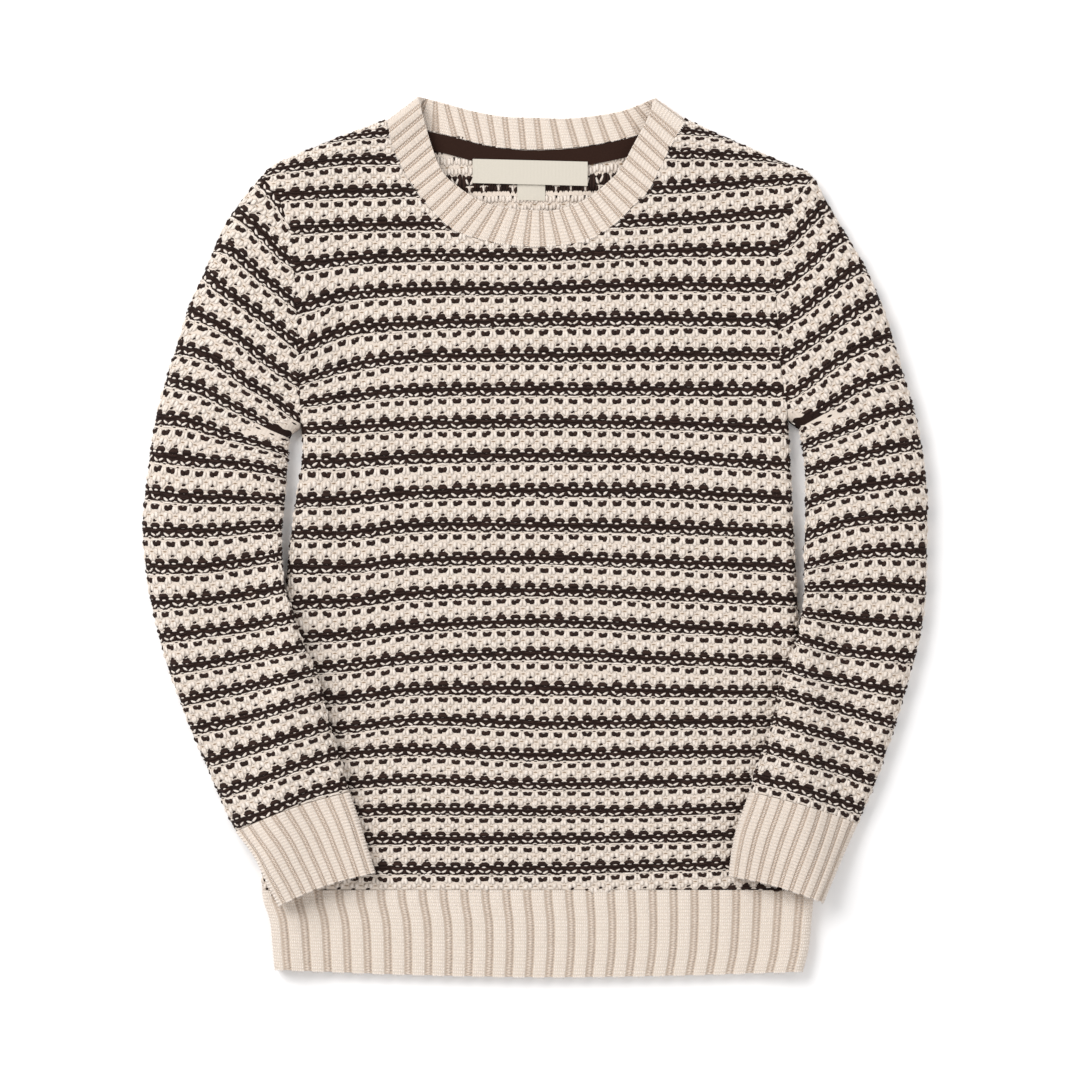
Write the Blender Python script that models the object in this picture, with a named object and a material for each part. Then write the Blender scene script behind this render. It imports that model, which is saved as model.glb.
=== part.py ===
"""A child's crewneck sweater in a two-colour knit, lying flat on its back.

Its front lies on its back panel, its sleeves are soft hollow tubes that run down
beside the body, and its forearms and cuffs cross over the body's side edges. Each
sleeve is one knitted panel, held here as its upper and its under side.
+X is the viewer's right, +Y runs toward the neck and +Z is up. The origin is at
the middle of the outline, on the surface that the sweater lies on.
Lengths in this file are millimetres until a mesh is made.
"""
import math

import bmesh
import bpy
import numpy as np

MM = 0.001

# ---------------------------------------------------------------- driving sizes
WALL = 3.0              # thickness of the knitted cloth
SEAM_GAP = 0.3          # space between two pieces along a seam
LAID_HEIGHT = 7.2       # top of the front panel where it lies on the back panel
FOLD_HEIGHT = 11.5      # top of the cloth beside a fold and along an armhole
NECK_HEIGHT = 9.6       # top of the front panel and the band at the neck seam
FOLD_REACH = 34.0       # how far from a fold the cloth is still lifted by it
NECK_REACH = 30.0
EDGE_LEVEL = 0.45       # a fold's outermost line, as a share of the height there
UNDER_ROLL = 4.0        # width of the rounding on the underside of a body fold
UNDER_GROWTH = 0.25     # a sleeve's underside rolls wider by this share of its bulk
SHARP_ANGLE = 50        # edges that bend more than this many degrees stay crisp

HEM_TOP = -187.0        # where the pattern ends and the hem's rib begins
HEM_CLIMB = (0.0, 0.3, 0.65, 1.0)
HEM_RIBS = 27
CUFF_RIBS = 10
RIB_RAISED = 0.6        # a rib's knitted columns stand this far out of the wall
RIB_SUNK = 0.4          # and the purl columns between them lie this far in
RIB_PHASES = (0.0, 0.25, 0.75)

REST_CLEARANCE = 0.9    # space under a sleeve that lies on the body
DRAPE_OUTSIDE = 24.0    # a sleeve comes down to the floor this far off the body
DRAPE_INSIDE = 7.0
CROSSING_START = 20.0   # y where the sleeves begin to rise onto the body
CROSSING_LENGTH = 44.0

TAPE_WIDTH = 10.0
TAPE_THICK = 0.8
TAPE_SHARES = np.linspace(0.09, 0.91, 15)   # where it runs along the back neck seam
LABEL_THICK = 0.6
LABEL_SIZE = (61.0, 12.8)
LABEL_CENTRE = (-2.6, 193.4)
TAB_SIZE = (14.8, 9.6)
TAB_CENTRE = (-2.0, 183.4)
TAB_THICK = 0.4
LABEL_BOW = 0.25        # how far a label's middle stands off what it lies on
LABEL_COLUMNS = 7

# ---------------------------------------------------------------- outline tables
# Side edge of the body from the hem's corner to the armpit.    columns: x, y
LEFT_SIDE = [(-138, -229), (-139, -218), (-140.5, -203), (-144.5, -189), (-144, -165),
             (-141.5, -125), (-138, -85), (-134.5, -50), (-131.5, -22), (-129, 4),
             (-126, 24), (-123, 44), (-124, 58)]
RIGHT_SIDE = [(142, -230), (145, -218), (146.5, -203), (147.5, -189), (146.5, -165),
              (144.5, -125), (142, -85), (140, -50), (138.5, -22), (137, 4),
              (136, 24), (135, 44), (134, 62)]
# Armhole seam from the armpit to the shoulder's tip.            columns: x, y
LEFT_ARMHOLE = [(-124, 58), (-125, 94), (-126.5, 126), (-128, 150), (-132, 170),
                (-138, 183), (-145, 191)]
RIGHT_ARMHOLE = [(134, 62), (129.5, 94), (127.5, 126), (128, 150), (133, 170),
                 (140, 183), (147, 191)]
# Fold along the top of the shoulder, from tip to neck.    columns: x, y, roll
LEFT_SHOULDER = [(-145, 191, 9), (-138, 197, 9), (-128, 202, 9), (-97, 214.5, 8),
                 (-78.5, 221, 7)]
RIGHT_SHOULDER = [(147, 191, 9), (138, 196, 9), (127, 200.5, 9), (108.5, 208.5, 8),
                  (80.5, 221, 7)]
BAND_FOLD_ENDS = [(-62.0, 233.7), (64.0, 233.0)]
SIDE_ROLL = 7.0
BAND_ROLL = 6.0
HEM_EDGE = [(-138, -229), (-80, -231.5), (0, -233.2), (80, -232.2), (142, -230)]

# Neckband, seam edge and free edge.    columns: seam x, seam y, free x, free y, ribs
FRONT_NECK = [
    (-78.5, 221.0, -62.0, 233.7, 0.0), (-76.0, 207.5, -59.0, 222.0, 2.2),
    (-69.5, 193.5, -54.5, 206.5, 5.0), (-62.5, 182.5, -49.0, 193.5, 7.2),
    (-53.5, 171.5, -40.0, 185.0, 9.3), (-42.5, 162.0, -28.5, 178.0, 11.5),
    (-27.0, 157.0, -17.5, 175.0, 13.6), (-14.5, 154.5, -8.5, 173.5, 15.0),
    (0.0, 153.5, 0.5, 173.0, 16.5), (14.5, 154.5, 9.5, 173.0, 18.2),
    (28.0, 157.0, 19.0, 175.5, 20.0), (40.5, 164.0, 28.5, 180.0, 22.0),
    (51.5, 174.5, 38.0, 187.5, 24.0), (60.0, 183.0, 45.5, 195.5, 26.0),
    (66.5, 195.5, 52.5, 208.5, 28.2), (72.5, 207.5, 59.0, 220.5, 30.4),
    (80.5, 221.0, 64.0, 233.0, 32.0)]
BACK_NECK = [
    (80.5, 221.0, 64.0, 233.0, 32.0), (56.0, 213.5, 47.5, 226.5, 35.0),
    (37.0, 209.0, 32.0, 223.5, 37.2), (20.5, 206.5, 16.0, 222.0, 39.2),
    (2.0, 205.5, 0.0, 222.5, 41.1), (-14.0, 206.0, -16.0, 223.0, 43.0),
    (-29.0, 208.5, -33.0, 226.0, 45.1), (-46.0, 213.0, -49.5, 230.5, 47.4),
    (-78.5, 221.0, -62.0, 233.7, 50.0)]
# Places along the neck seams, close together where the band turns over.
FRONT_NECK_SHARES = (0, 0.018, 0.065, 0.12, 0.19, 0.26, 0.33, 0.39, 0.45, 0.5,
                     0.55, 0.61, 0.67, 0.74, 0.81, 0.88, 0.935, 0.982, 1)
BACK_NECK_SHARES = (0, 0.03, 0.12, 0.25, 0.38, 0.5, 0.62, 0.75, 0.88, 0.97, 1)

# Sleeve, one row for each cross-section after the armhole. Bulge is how far the
# row bows toward the body, thick and thick_in the tube's height in its middle and
# at its inner edge, roll_out and roll_in the width of its rounded edges.
# columns: outer x, outer y, inner x, inner y, bulge, thick, thick_in, roll_out, roll_in
LEFT_SLEEVE = [
    (-156.5, 177.0, -124.3, 57.5, 7.0, 14.0, 11.5, 13, 7),
    (-165.0, 164.0, -124.6, 57.2, 6.0, 15.6, 11.6, 18, 7),
    (-174.0, 142.5, -125.0, 57.0, 5.0, 17.3, 11.8, 24, 7),
    (-183.0, 122.5, -125.5, 56.7, 3.5, 18.7, 12.0, 26, 8),
    (-189.0, 103.0, -126.0, 56.4, 2.0, 19.5, 12.2, 26, 8),
    (-195.5, 82.5, -127.0, 55.8, 1.0, 20.0, 12.6, 26, 9),
    (-200.5, 64.0, -130.0, 51.5, 0.0, 20.0, 13.6, 25, 10),
    (-203.5, 45.0, -131.5, 35.5, 0.0, 19.5, 14.6, 24, 12),
    (-206.0, 24.5, -132.5, 20.5, 0.0, 19.0, 14.6, 24, 12),
    (-207.8, 6.0, -134.0, 6.5, 0.0, 18.5, 14.4, 24, 12),
    (-206.2, -15.5, -134.0, -8.5, 0.0, 18.0, 14.0, 23, 12),
    (-203.2, -35.0, -132.0, -27.0, 0.0, 17.6, 13.8, 22, 12),
    (-198.8, -53.0, -126.5, -44.0, 0.0, 17.2, 13.6, 21, 12),
    (-194.2, -70.0, -121.5, -58.0, 0.0, 16.8, 13.3, 19, 11),
    (-187.8, -87.0, -115.5, -71.5, 0.0, 16.4, 13.0, 17, 10),
    (-182.2, -102.0, -112.0, -84.0, 0.0, 16.0, 12.7, 15, 9),
    (-174.8, -119.0, -108.5, -99.0, 0.0, 15.4, 12.4, 13, 9),
    (-167.8, -135.5, -104.0, -113.5, -0.5, 14.7, 12.0, 11, 8),
    (-161.2, -150.5, -100.0, -128.0, -1.5, 13.9, 11.6, 9, 8),
    (-158.5, -155.5, -98.5, -134.5, -2.0, 13.5, 11.4, 9, 8)]
RIGHT_SLEEVE = [
    (159.0, 170.0, 134.4, 61.5, 11.0, 14.0, 11.5, 13, 7),
    (166.5, 157.5, 134.7, 61.2, 9.0, 15.6, 11.6, 18, 7),
    (175.5, 141.5, 135.1, 61.0, 7.0, 17.3, 11.8, 24, 7),
    (184.0, 122.5, 135.6, 60.7, 5.0, 18.7, 12.0, 26, 8),
    (190.5, 102.0, 136.2, 60.4, 3.0, 19.5, 12.2, 26, 8),
    (196.5, 81.0, 137.4, 59.6, 1.5, 20.0, 12.6, 26, 9),
    (201.0, 66.0, 140.5, 54.5, 0.0, 20.0, 13.6, 25, 10),
    (204.5, 49.5, 143.0, 36.5, 0.0, 19.5, 14.6, 24, 12),
    (207.0, 30.0, 143.6, 18.0, 0.0, 19.0, 14.6, 24, 12),
    (207.8, 13.0, 143.0, 1.5, 0.0, 18.5, 14.4, 24, 12),
    (207.5, -7.0, 142.2, -13.0, 0.0, 18.0, 14.0, 23, 12),
    (207.0, -27.0, 142.5, -28.0, 0.0, 17.6, 13.8, 22, 12),
    (205.3, -45.0, 140.8, -41.0, 0.0, 17.2, 13.6, 21, 12),
    (201.2, -63.5, 138.5, -53.5, 0.0, 16.8, 13.3, 19, 11),
    (195.8, -82.5, 133.0, -67.0, 0.0, 16.4, 13.0, 17, 10),
    (191.2, -98.5, 128.2, -81.0, 0.0, 16.0, 12.7, 15, 9),
    (186.0, -114.0, 126.0, -96.0, 0.0, 15.4, 12.4, 13, 9),
    (180.6, -129.5, 121.5, -110.0, -0.5, 14.7, 12.0, 11, 8),
    (174.4, -144.0, 115.8, -125.5, -1.0, 13.9, 11.6, 9, 8),
    (171.0, -151.5, 114.0, -134.5, -1.5, 13.5, 11.4, 9, 8)]
# Cuff, one row for each cross-section after its seam, with the sleeve's columns.
LEFT_CUFF = [
    (-148.4, -168.5, -93.3, -150.0, -2.0, 12.9, 11.0, 8, 7),
    (-141.8, -181.5, -89.0, -164.0, -2.0, 12.0, 10.6, 7, 7),
    (-135.2, -194.5, -84.8, -177.3, -2.0, 11.2, 10.2, 7, 7)]
RIGHT_CUFF = [
    (164.0, -166.5, 107.1, -153.5, -1.5, 12.9, 11.0, 8, 7),
    (158.0, -180.0, 104.4, -166.0, -1.5, 12.0, 10.6, 7, 7),
    (152.4, -193.0, 102.8, -179.0, -1.5, 11.2, 10.2, 7, 7)]

# Soft troughs in the front panel.    columns: x, y of each end, width, depth
FRONT_CREASES = [(-99, 126, -99, 12, 5.0, 0.6), (-116, 72, -104, 96, 6.0, 0.8),
                 (121, 78, 106, 100, 6.0, 0.8), (-112, -60, -96, -78, 6.0, 0.5)]

SLEEVE_CREASES = [(-130, 53, -162, 62, 7.0, 1.6), (-132, 70, -150, 80, 6.0, 1.0),
                  (140, 56, 170, 66, 7.0, 1.6), (-140, -52, -168, -44, 8.0, 1.0),
                  (146, -44, 176, -40, 8.0, 1.0)]

# Places across a sleeve, as shares of its width from its outer edge. The armhole
# edge of the front and back panels is read at the same shares.
TOP_SHARES = (0, 0.004, 0.016, 0.04, 0.08, 0.14, 0.23, 0.36, 0.5, 0.65, 0.79, 0.88,
              0.94, 0.975, 0.993, 1)
UNDER_SHARES = (0, 0.006, 0.02, 0.05, 0.14, 0.27, 0.4, 0.53, 0.66, 0.8, 0.93, 0.985, 1)
# Places along the shoulder from its tip, and up the side from the hem.
FRONT_SHOULDER_SHARES = (0, 0.01, 0.03, 0.07, 0.13, 0.23, 0.42, 0.7, 1)
BACK_SHOULDER_SHARES = (0, 0.01, 0.03, 0.08, 0.35, 1)
FRONT_SIDE_SHARES = (0, 0.1, 0.22, 0.34, 0.46, 0.58, 0.69, 0.79, 0.88, 0.95, 1)
BACK_SIDE_SHARES = (0, 0.3, 0.55, 0.75, 0.9, 1)
# Places across the underside of the hem's rib, the same from either side.
HEM_UNDER_SHARES = (0, 0.002, 0.006, 0.015, 0.05, 0.2, 0.35, 0.5,
                    0.65, 0.8, 0.95, 0.985, 0.994, 0.998, 1)

# Colours of the knit, its rib, the tape and the labels.    name: (rgb, roughness)
FINISHES = {
    "patterned knit": ((0.46, 0.38, 0.32), 0.95),
    "rib knit": ((0.78, 0.68, 0.57), 0.95),
    "neck tape": ((0.05, 0.03, 0.025), 0.9),
    "woven label": ((0.86, 0.85, 0.76), 0.8),
}


# ---------------------------------------------------------------- curves
ROUND_STEPS = 8         # short runs of a round curve between two rows of its table


def smooth(t):
    """0 at 0 and below, 1 at 1 and above, with soft ends."""
    t = np.clip(t, 0.0, 1.0)
    return t * t * (3.0 - 2.0 * t)


def round_path(rows):
    """A round curve through the rows, as ROUND_STEPS short runs between each two."""
    points = np.array(rows, float)
    guide = np.vstack([2 * points[0] - points[1], points, 2 * points[-1] - points[-2]])
    fine = []
    for a, b, c, d in zip(guide, guide[1:], guide[2:], guide[3:]):
        for t in np.linspace(0, 1, ROUND_STEPS, endpoint=False):
            bend = (2 * a - 5 * b + 4 * c - d) * t ** 2 + (3 * b - a - 3 * c + d) * t ** 3
            fine.append(0.5 * (2 * b + (c - a) * t + bend))
    fine.append(points[-1])
    return np.array(fine)


def read_along(rows, shares, axes):
    """Rows of a polyline at shares of its length, measured over its first axes."""
    steps = np.linalg.norm(np.diff(rows[:, :axes], axis=0), axis=1)
    length = np.concatenate([[0.0], np.cumsum(steps)])
    places = np.array(shares) * length[-1]
    return np.column_stack([np.interp(places, length, column) for column in rows.T])


def nearest_on(path, points):
    """Distance from each point to a path, the way to it and the path's own columns."""
    best = np.full(len(points), np.inf)
    away = np.zeros((len(points), 2))
    columns = np.zeros((len(points), path.shape[1]))
    for start, end in zip(path[:-1], path[1:]):
        run = end[:2] - start[:2]
        share = np.clip((points - start[:2]) @ run / (run @ run), 0.0, 1.0)
        foot = start + share[:, None] * (end - start)
        offset = points - foot[:, :2]
        distance = np.linalg.norm(offset, axis=1)
        closer = distance < best
        best[closer] = distance[closer]
        away[closer] = offset[closer]
        columns[closer] = foot[closer]
    return best, away, columns


# ---------------------------------------------------------------- the folds
CAP_ROWS = 3            # rows of the sleeve that shape the fold beside the shoulder
ON_FOLD = 0.02          # a point this near a fold's line lies on it


def top_fold(sleeve_rows, shoulder_rows):
    """The fold from the upper sleeve over the shoulder's tip to the neck."""
    sleeve_edge = [(row[0], row[1], row[7]) for row in sleeve_rows[CAP_ROWS - 1::-1]]
    return round_path(sleeve_edge + shoulder_rows)


def side_fold(side, sleeve_rows):
    """The body's side fold, with the start of the sleeve's inner fold after it."""
    rolls = np.full((len(side), 1), SIDE_ROLL)
    inner = [(row[2], row[3], row[8]) for row in sleeve_rows[5:7]]
    return np.vstack([np.hstack([side, rolls]), inner])


TOPS = [top_fold(LEFT_SLEEVE, LEFT_SHOULDER), top_fold(RIGHT_SLEEVE, RIGHT_SHOULDER)]
SHOULDERS = [path[CAP_ROWS * ROUND_STEPS:, :2] for path in TOPS]
SIDES = [round_path(LEFT_SIDE), round_path(RIGHT_SIDE)]
ARMHOLES = [round_path(LEFT_ARMHOLE), round_path(RIGHT_ARMHOLE)]
FRONT_NECK_LINE = read_along(round_path(FRONT_NECK), FRONT_NECK_SHARES, 2)
BACK_NECK_LINE = read_along(round_path(BACK_NECK), BACK_NECK_SHARES, 2)
# The lines where the laid cloth turns over, each with the cloth on its right.
FOLDS = [np.vstack([TOPS[0], BAND_FOLD_ENDS[0] + (BAND_ROLL,)]),
         np.vstack([TOPS[1], BAND_FOLD_ENDS[1] + (BAND_ROLL,)])[::-1],
         side_fold(SIDES[0], LEFT_SLEEVE),
         side_fold(SIDES[1], RIGHT_SLEEVE)[::-1]]


def inward_at(path, points):
    """Way into the cloth for points that lie on the fold line itself."""
    total = np.zeros((len(points), 2))
    for start, end in zip(path[:-1], path[1:]):
        run = end[:2] - start[:2]
        share = np.clip((points - start[:2]) @ run / (run @ run), 0.0, 1.0)
        gap = np.linalg.norm(points - start[:2] - share[:, None] * run, axis=1)
        right_hand = np.array([run[1], -run[0]]) / np.linalg.norm(run)
        total += (gap < ON_FOLD)[:, None] * right_hand
    return total


def fold_at(points):
    """Distance to the nearest fold in roll widths, in mm, its roll and the way in."""
    count = len(points)
    share = np.full(count, np.inf)
    distance = np.full(count, np.inf)
    roll = np.ones(count)
    inward = np.zeros((count, 2))
    for path in FOLDS:
        gap, away, columns = nearest_on(path, points)
        way = np.where((gap < ON_FOLD)[:, None], inward_at(path, points), away)
        way = way / np.maximum(np.linalg.norm(way, axis=1), 1e-9)[:, None]
        closer = gap / columns[:, 2] < share
        share[closer] = (gap / columns[:, 2])[closer]
        roll[closer] = columns[closer, 2]
        inward[closer] = way[closer]
        distance = np.minimum(distance, gap)
    return share, distance, roll, inward


def plateau(points, fold_distance, in_band):
    """Height of the laid cloth away from the rounding of its folds."""
    armhole = np.minimum(*(nearest_on(path, points)[0] for path in ARMHOLES))
    lifted = smooth(1 - np.minimum(fold_distance, armhole) / FOLD_REACH)
    neck = 0.0 if in_band else nearest_on(FRONT_NECK_LINE, points)[0]
    near_neck = smooth(1 - neck / NECK_REACH)
    return LAID_HEIGHT + np.maximum((FOLD_HEIGHT - LAID_HEIGHT) * lifted,
                                    (NECK_HEIGHT - LAID_HEIGHT) * near_neck)


def rounding(share):
    """Height and slope of a rounded edge: (0, 1) on the fold, (1, 0) past its roll."""
    across = 1 - np.clip(share, 0.0, 1.0)
    return np.sqrt(1 - across ** 2), across


def unit(vectors):
    return vectors / np.linalg.norm(vectors, axis=-1, keepdims=True)


def crease_depth(points, creases):
    """How far the soft troughs sink the cloth at each plan point."""
    depth = np.zeros(len(points))
    for x0, y0, x1, y1, width, deepest in creases:
        off = nearest_on(np.array([(x0, y0), (x1, y1)], float), points)[0]
        depth += deepest * np.exp(-(off / width) ** 2)
    return depth


def upper_skin(plan, creases=(), in_band=False):
    """Top surface of the laid body over a grid of plan points, with its normals."""
    points = plan.reshape(-1, 2)
    share, distance, roll, inward = fold_at(points)
    height = plateau(points, distance, in_band)
    edge = EDGE_LEVEL * height
    rise, slope = rounding(share)
    z = edge + (height - edge) * rise
    z = z - crease_depth(points, creases)
    normal = unit(np.column_stack([-inward * (slope / roll)[:, None], rise / (height - edge)]))
    grid = plan.shape[:-1] + (3,)
    return np.column_stack([points, z]).reshape(grid), normal.reshape(grid)


def under_skin(plan, in_band=False):
    """Underside of the laid body: flat on the floor, rounded up to the folds."""
    points = plan.reshape(-1, 2)
    share, distance, roll, inward = fold_at(points)
    edge = EDGE_LEVEL * plateau(points, distance, in_band)
    rise, slope = rounding(share * roll / UNDER_ROLL)
    z = edge * (1 - rise)
    normal = unit(np.column_stack([-inward * (slope / UNDER_ROLL)[:, None], -rise / edge]))
    grid = plan.shape[:-1] + (3,)
    return np.column_stack([points, z]).reshape(grid), normal.reshape(grid)


# ---------------------------------------------------------------- solids
def finish(name):
    """A knit or cloth material with its own colour and roughness."""
    material = bpy.data.materials.get(name) or bpy.data.materials.new(name)
    material.use_nodes = True
    shader = material.node_tree.nodes["Principled BSDF"]
    (red, green, blue), roughness = FINISHES[name]
    shader.inputs["Base Color"].default_value = (red, green, blue, 1.0)
    shader.inputs["Roughness"].default_value = roughness
    shader.inputs["Metallic"].default_value = 0.0
    return material


def wall(name, outside, inside, material, ring=False):
    """A closed piece of cloth between two point grids, which may run round in a ring."""
    rows, columns = outside.shape[:2]
    bm = bmesh.new()
    out = [[bm.verts.new(point * MM) for point in row] for row in outside]
    back = [[bm.verts.new(point * MM) for point in row] for row in inside]
    last = columns if ring else columns - 1
    for j in range(last):
        k = (j + 1) % columns
        for i in range(rows - 1):
            bm.faces.new((out[i][j], out[i][k], out[i + 1][k], out[i + 1][j]))
            bm.faces.new((back[i][j], back[i + 1][j], back[i + 1][k], back[i][k]))
        for i in (0, rows - 1):
            bm.faces.new((out[i][j], back[i][j], back[i][k], out[i][k]))
    if not ring:
        for i in range(rows - 1):
            for j in (0, columns - 1):
                bm.faces.new((out[i][j], back[i][j], back[i + 1][j], out[i + 1][j]))
    bmesh.ops.recalc_face_normals(bm, faces=bm.faces)
    bmesh.ops.triangulate(bm, faces=bm.faces)
    mesh = bpy.data.meshes.new(name)
    bm.to_mesh(mesh)
    bm.free()
    mesh.shade_smooth()
    mesh.set_sharp_from_angle(angle=math.radians(SHARP_ANGLE))
    mesh.materials.append(finish(material))
    piece = bpy.data.objects.new(name, mesh)
    bpy.data.collections["crewneck sweater"].objects.link(piece)


def rib_relief(phases):
    """How far the rib stands out at each phase: sunk on whole numbers, else raised."""
    return np.where(np.isclose(phases, np.round(phases)), -RIB_SUNK, RIB_RAISED)


def rib_phases(ribs):
    """Phases of the points that draw each rib: a valley, then a crest's two sides."""
    return np.array([rib + phase for rib in range(ribs) for phase in RIB_PHASES] + [ribs])


# ---------------------------------------------------------------- body panels
SIDE_PULL = 12          # how fast the sides' shape fades toward the panel's middle


def armhole_edge(side, shares):
    """Points of one armhole from its armpit up, at shares measured from its tip."""
    return read_along(ARMHOLES[side], 1 - np.array(shares)[::-1], 2)


def side_edge(side, shares):
    """Points of the body's side from the hem's rib up to the armpit."""
    path = SIDES[side]
    low = np.interp(HEM_TOP, path[:, 1], path[:, 0])
    above = path[path[:, 1] > HEM_TOP]
    return read_along(np.vstack([(low, HEM_TOP), above]), shares, 2)


def panel_plan(neck, shoulder_shares, side_shares, armhole_shares):
    """Plan grid of a panel between its hem, sides, armholes, shoulders and neck."""
    left = np.vstack([side_edge(0, side_shares)[:-1], armhole_edge(0, armhole_shares)])
    right = np.vstack([side_edge(1, side_shares)[:-1], armhole_edge(1, armhole_shares)])
    left_shoulder = read_along(SHOULDERS[0], shoulder_shares, 2)
    right_shoulder = read_along(SHOULDERS[1], shoulder_shares, 2)
    top = np.vstack([left_shoulder, neck[1:-1], right_shoulder[::-1]])
    across = (top[:, 0] - top[0, 0]) / (top[-1, 0] - top[0, 0])
    level = top[0, 1] + across * (top[-1, 1] - top[0, 1])
    climb = (left[:, 1] - HEM_TOP) / (left[-1, 1] - HEM_TOP)
    plan = []
    for start, end, share in zip(left, right, climb):
        x = (top[:, 0] + (start[0] - top[0, 0]) * (1 - across) ** SIDE_PULL
             + (end[0] - top[-1, 0]) * across ** SIDE_PULL)
        y = (1 - across) * start[1] + across * end[1] + share * (top[:, 1] - level)
        plan.append(np.column_stack([x, y]))
    plan[0][:, 1] += SEAM_GAP / 2
    return np.array(plan)


def parted(skin, upper):
    """A skin moved off its twin along the folds: half the gap up, or down in the air."""
    height = skin[..., 2]
    off_floor = np.where(height > SEAM_GAP, SEAM_GAP / 2, 0.0)
    height += SEAM_GAP / 2 if upper else -off_floor
    return skin


def square_to_neck(normal, shoulder_shares):
    """Keep the wall below a neck point from leaning across the neck seam."""
    for column in (len(shoulder_shares) - 1, -len(shoulder_shares)):
        lean = np.linalg.norm(normal[:, column, :2], axis=1)
        normal[:, column, 0] = 0.0
        normal[:, column, 1] = lean


def body_front():
    """The front panel. Its two skins go on to the sleeves, which start at its armholes."""
    plan = panel_plan(FRONT_NECK_LINE[:, :2], FRONT_SHOULDER_SHARES, FRONT_SIDE_SHARES,
                      TOP_SHARES)
    skin, normal = upper_skin(plan, FRONT_CREASES)
    square_to_neck(normal, FRONT_SHOULDER_SHARES)
    skin = parted(skin, True)
    wall("body_front", skin, skin - WALL * normal, "patterned knit")
    return skin, skin - WALL * normal


def body_back():
    """The back panel, flat on the floor, with its skins for the sleeves."""
    plan = panel_plan(BACK_NECK_LINE[::-1, :2], BACK_SHOULDER_SHARES, BACK_SIDE_SHARES,
                      UNDER_SHARES)
    skin, normal = under_skin(plan)
    square_to_neck(normal, BACK_SHOULDER_SHARES)
    skin = parted(skin, False)
    wall("body_back", skin, skin - WALL * normal, "patterned knit")
    return skin, skin - WALL * normal


def hem_plan(shares):
    """Plan grid of the hem's rib, from its free edge up to the panel."""
    low = read_along(np.array(HEM_EDGE, float), shares, 2)
    ends = [(np.interp(HEM_TOP, side[:, 1], side[:, 0]), HEM_TOP - SEAM_GAP / 2)
            for side in SIDES]
    high = ends[0] + np.array(shares)[:, None] * (np.array(ends[1]) - ends[0])
    plan = []
    for climb in HEM_CLIMB:
        row = low + climb * (high - low)
        for end, side in ((0, SIDES[0]), (-1, SIDES[1])):
            shift = np.interp(row[end, 1], side[:, 1], side[:, 0]) - row[end, 0]
            pull = np.array(shares) if end else 1 - np.array(shares)
            row[:, 0] += shift * pull
        plan.append(row)
    return np.array(plan)


def rounded_shares(width, roll, rise, count_shares):
    """Shares across a laid piece whose edges turn down, so that ribs crowd there."""
    arc = math.pi / 4 * (roll + rise)
    whole = width - 2 * roll + 2 * arc
    walked = np.array(count_shares) * whole
    near = np.minimum(walked, whole - walked)
    turned = roll * (1 - np.cos(np.clip(near / arc, 0, 1) * math.pi / 2))
    inset = np.where(near < arc, turned, roll + near - arc)
    return np.where(walked < whole / 2, inset, width - inset) / width


def hem():
    """The rib below the front and the back, with its ribs raised on the front."""
    phases = rib_phases(HEM_RIBS)
    width = HEM_EDGE[-1][0] - HEM_EDGE[0][0]
    rise = (1 - EDGE_LEVEL) * FOLD_HEIGHT
    shares = rounded_shares(width, SIDE_ROLL, rise, phases / HEM_RIBS)
    skin, normal = upper_skin(hem_plan(shares))
    skin = parted(skin, True)
    raised = skin + normal * rib_relief(phases)[None, :, None]
    wall("hem_rib_front", raised, skin - WALL * normal, "rib knit")

    skin, normal = under_skin(hem_plan(HEM_UNDER_SHARES))
    skin = parted(skin, False)
    wall("hem_rib_back", skin, skin - WALL * normal, "rib knit")


# ---------------------------------------------------------------- sleeves and cuffs
def support(points):
    """Height of what lies under a sleeve: the floor, or the body it crosses."""
    left, right = SIDES
    inside = np.minimum(points[:, 0] - np.interp(points[:, 1], left[:, 1], left[:, 0]),
                        np.interp(points[:, 1], right[:, 1], right[:, 0]) - points[:, 0])
    body = plateau(points, np.maximum(inside, 0.0), False) + REST_CLEARANCE + RIB_RAISED
    onto = smooth((inside + DRAPE_OUTSIDE) / (DRAPE_OUTSIDE + DRAPE_INSIDE))
    crossing = smooth((CROSSING_START - points[:, 1]) / CROSSING_LENGTH)
    return body * onto * crossing


def section(row, shares, upper):
    """One side of a sleeve's cross-section, from its outer edge to its inner edge."""
    outer, inner = np.array(row[0:2]), np.array(row[2:4])
    bulge, thick, thick_in, roll_out, roll_in = row[4:9]
    shares = np.array(shares, float)
    run = inner - outer
    width = np.linalg.norm(run)
    way = run / width
    across = np.array([-way[1], way[0]])
    toward_body = -across * math.copysign(1, across[0] * outer[0])
    plan = outer + shares[:, None] * run
    plan = plan + (bulge * np.sin(math.pi * shares))[:, None] * toward_body
    if not upper:
        roll_out = roll_in = UNDER_ROLL + UNDER_GROWTH * max(thick - FOLD_HEIGHT, 0.0)
    from_outer, from_inner = shares * width / roll_out, (1 - shares) * width / roll_in
    rise, slope = rounding(np.minimum(from_outer, from_inner))
    roll = np.where(from_outer < from_inner, roll_out, roll_in)
    turn = np.where(from_outer < from_inner, slope, -slope) / roll
    height = thick + (thick_in - thick) * shares ** 2
    edge = EDGE_LEVEL * height
    base = support(plan)
    if upper:
        z = base + edge + (height - edge) * rise - rise * crease_depth(plan, SLEEVE_CREASES)
        lift = rise / (height - edge)
    else:
        z = base + edge * (1 - rise)
        lift = -rise / edge
    normal = unit(np.column_stack([-way[0] * turn, -way[1] * turn, lift]))
    return np.column_stack([plan, z]), normal


def armhole_row(side, panel, count):
    """A sleeve half's first row: the panel's own armhole edge, moved off the seam."""
    row = panel[-count:, -1 if side else 0][::-1].copy()
    row[:, 0] += SEAM_GAP * (1 if side else -1)
    return row


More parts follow.
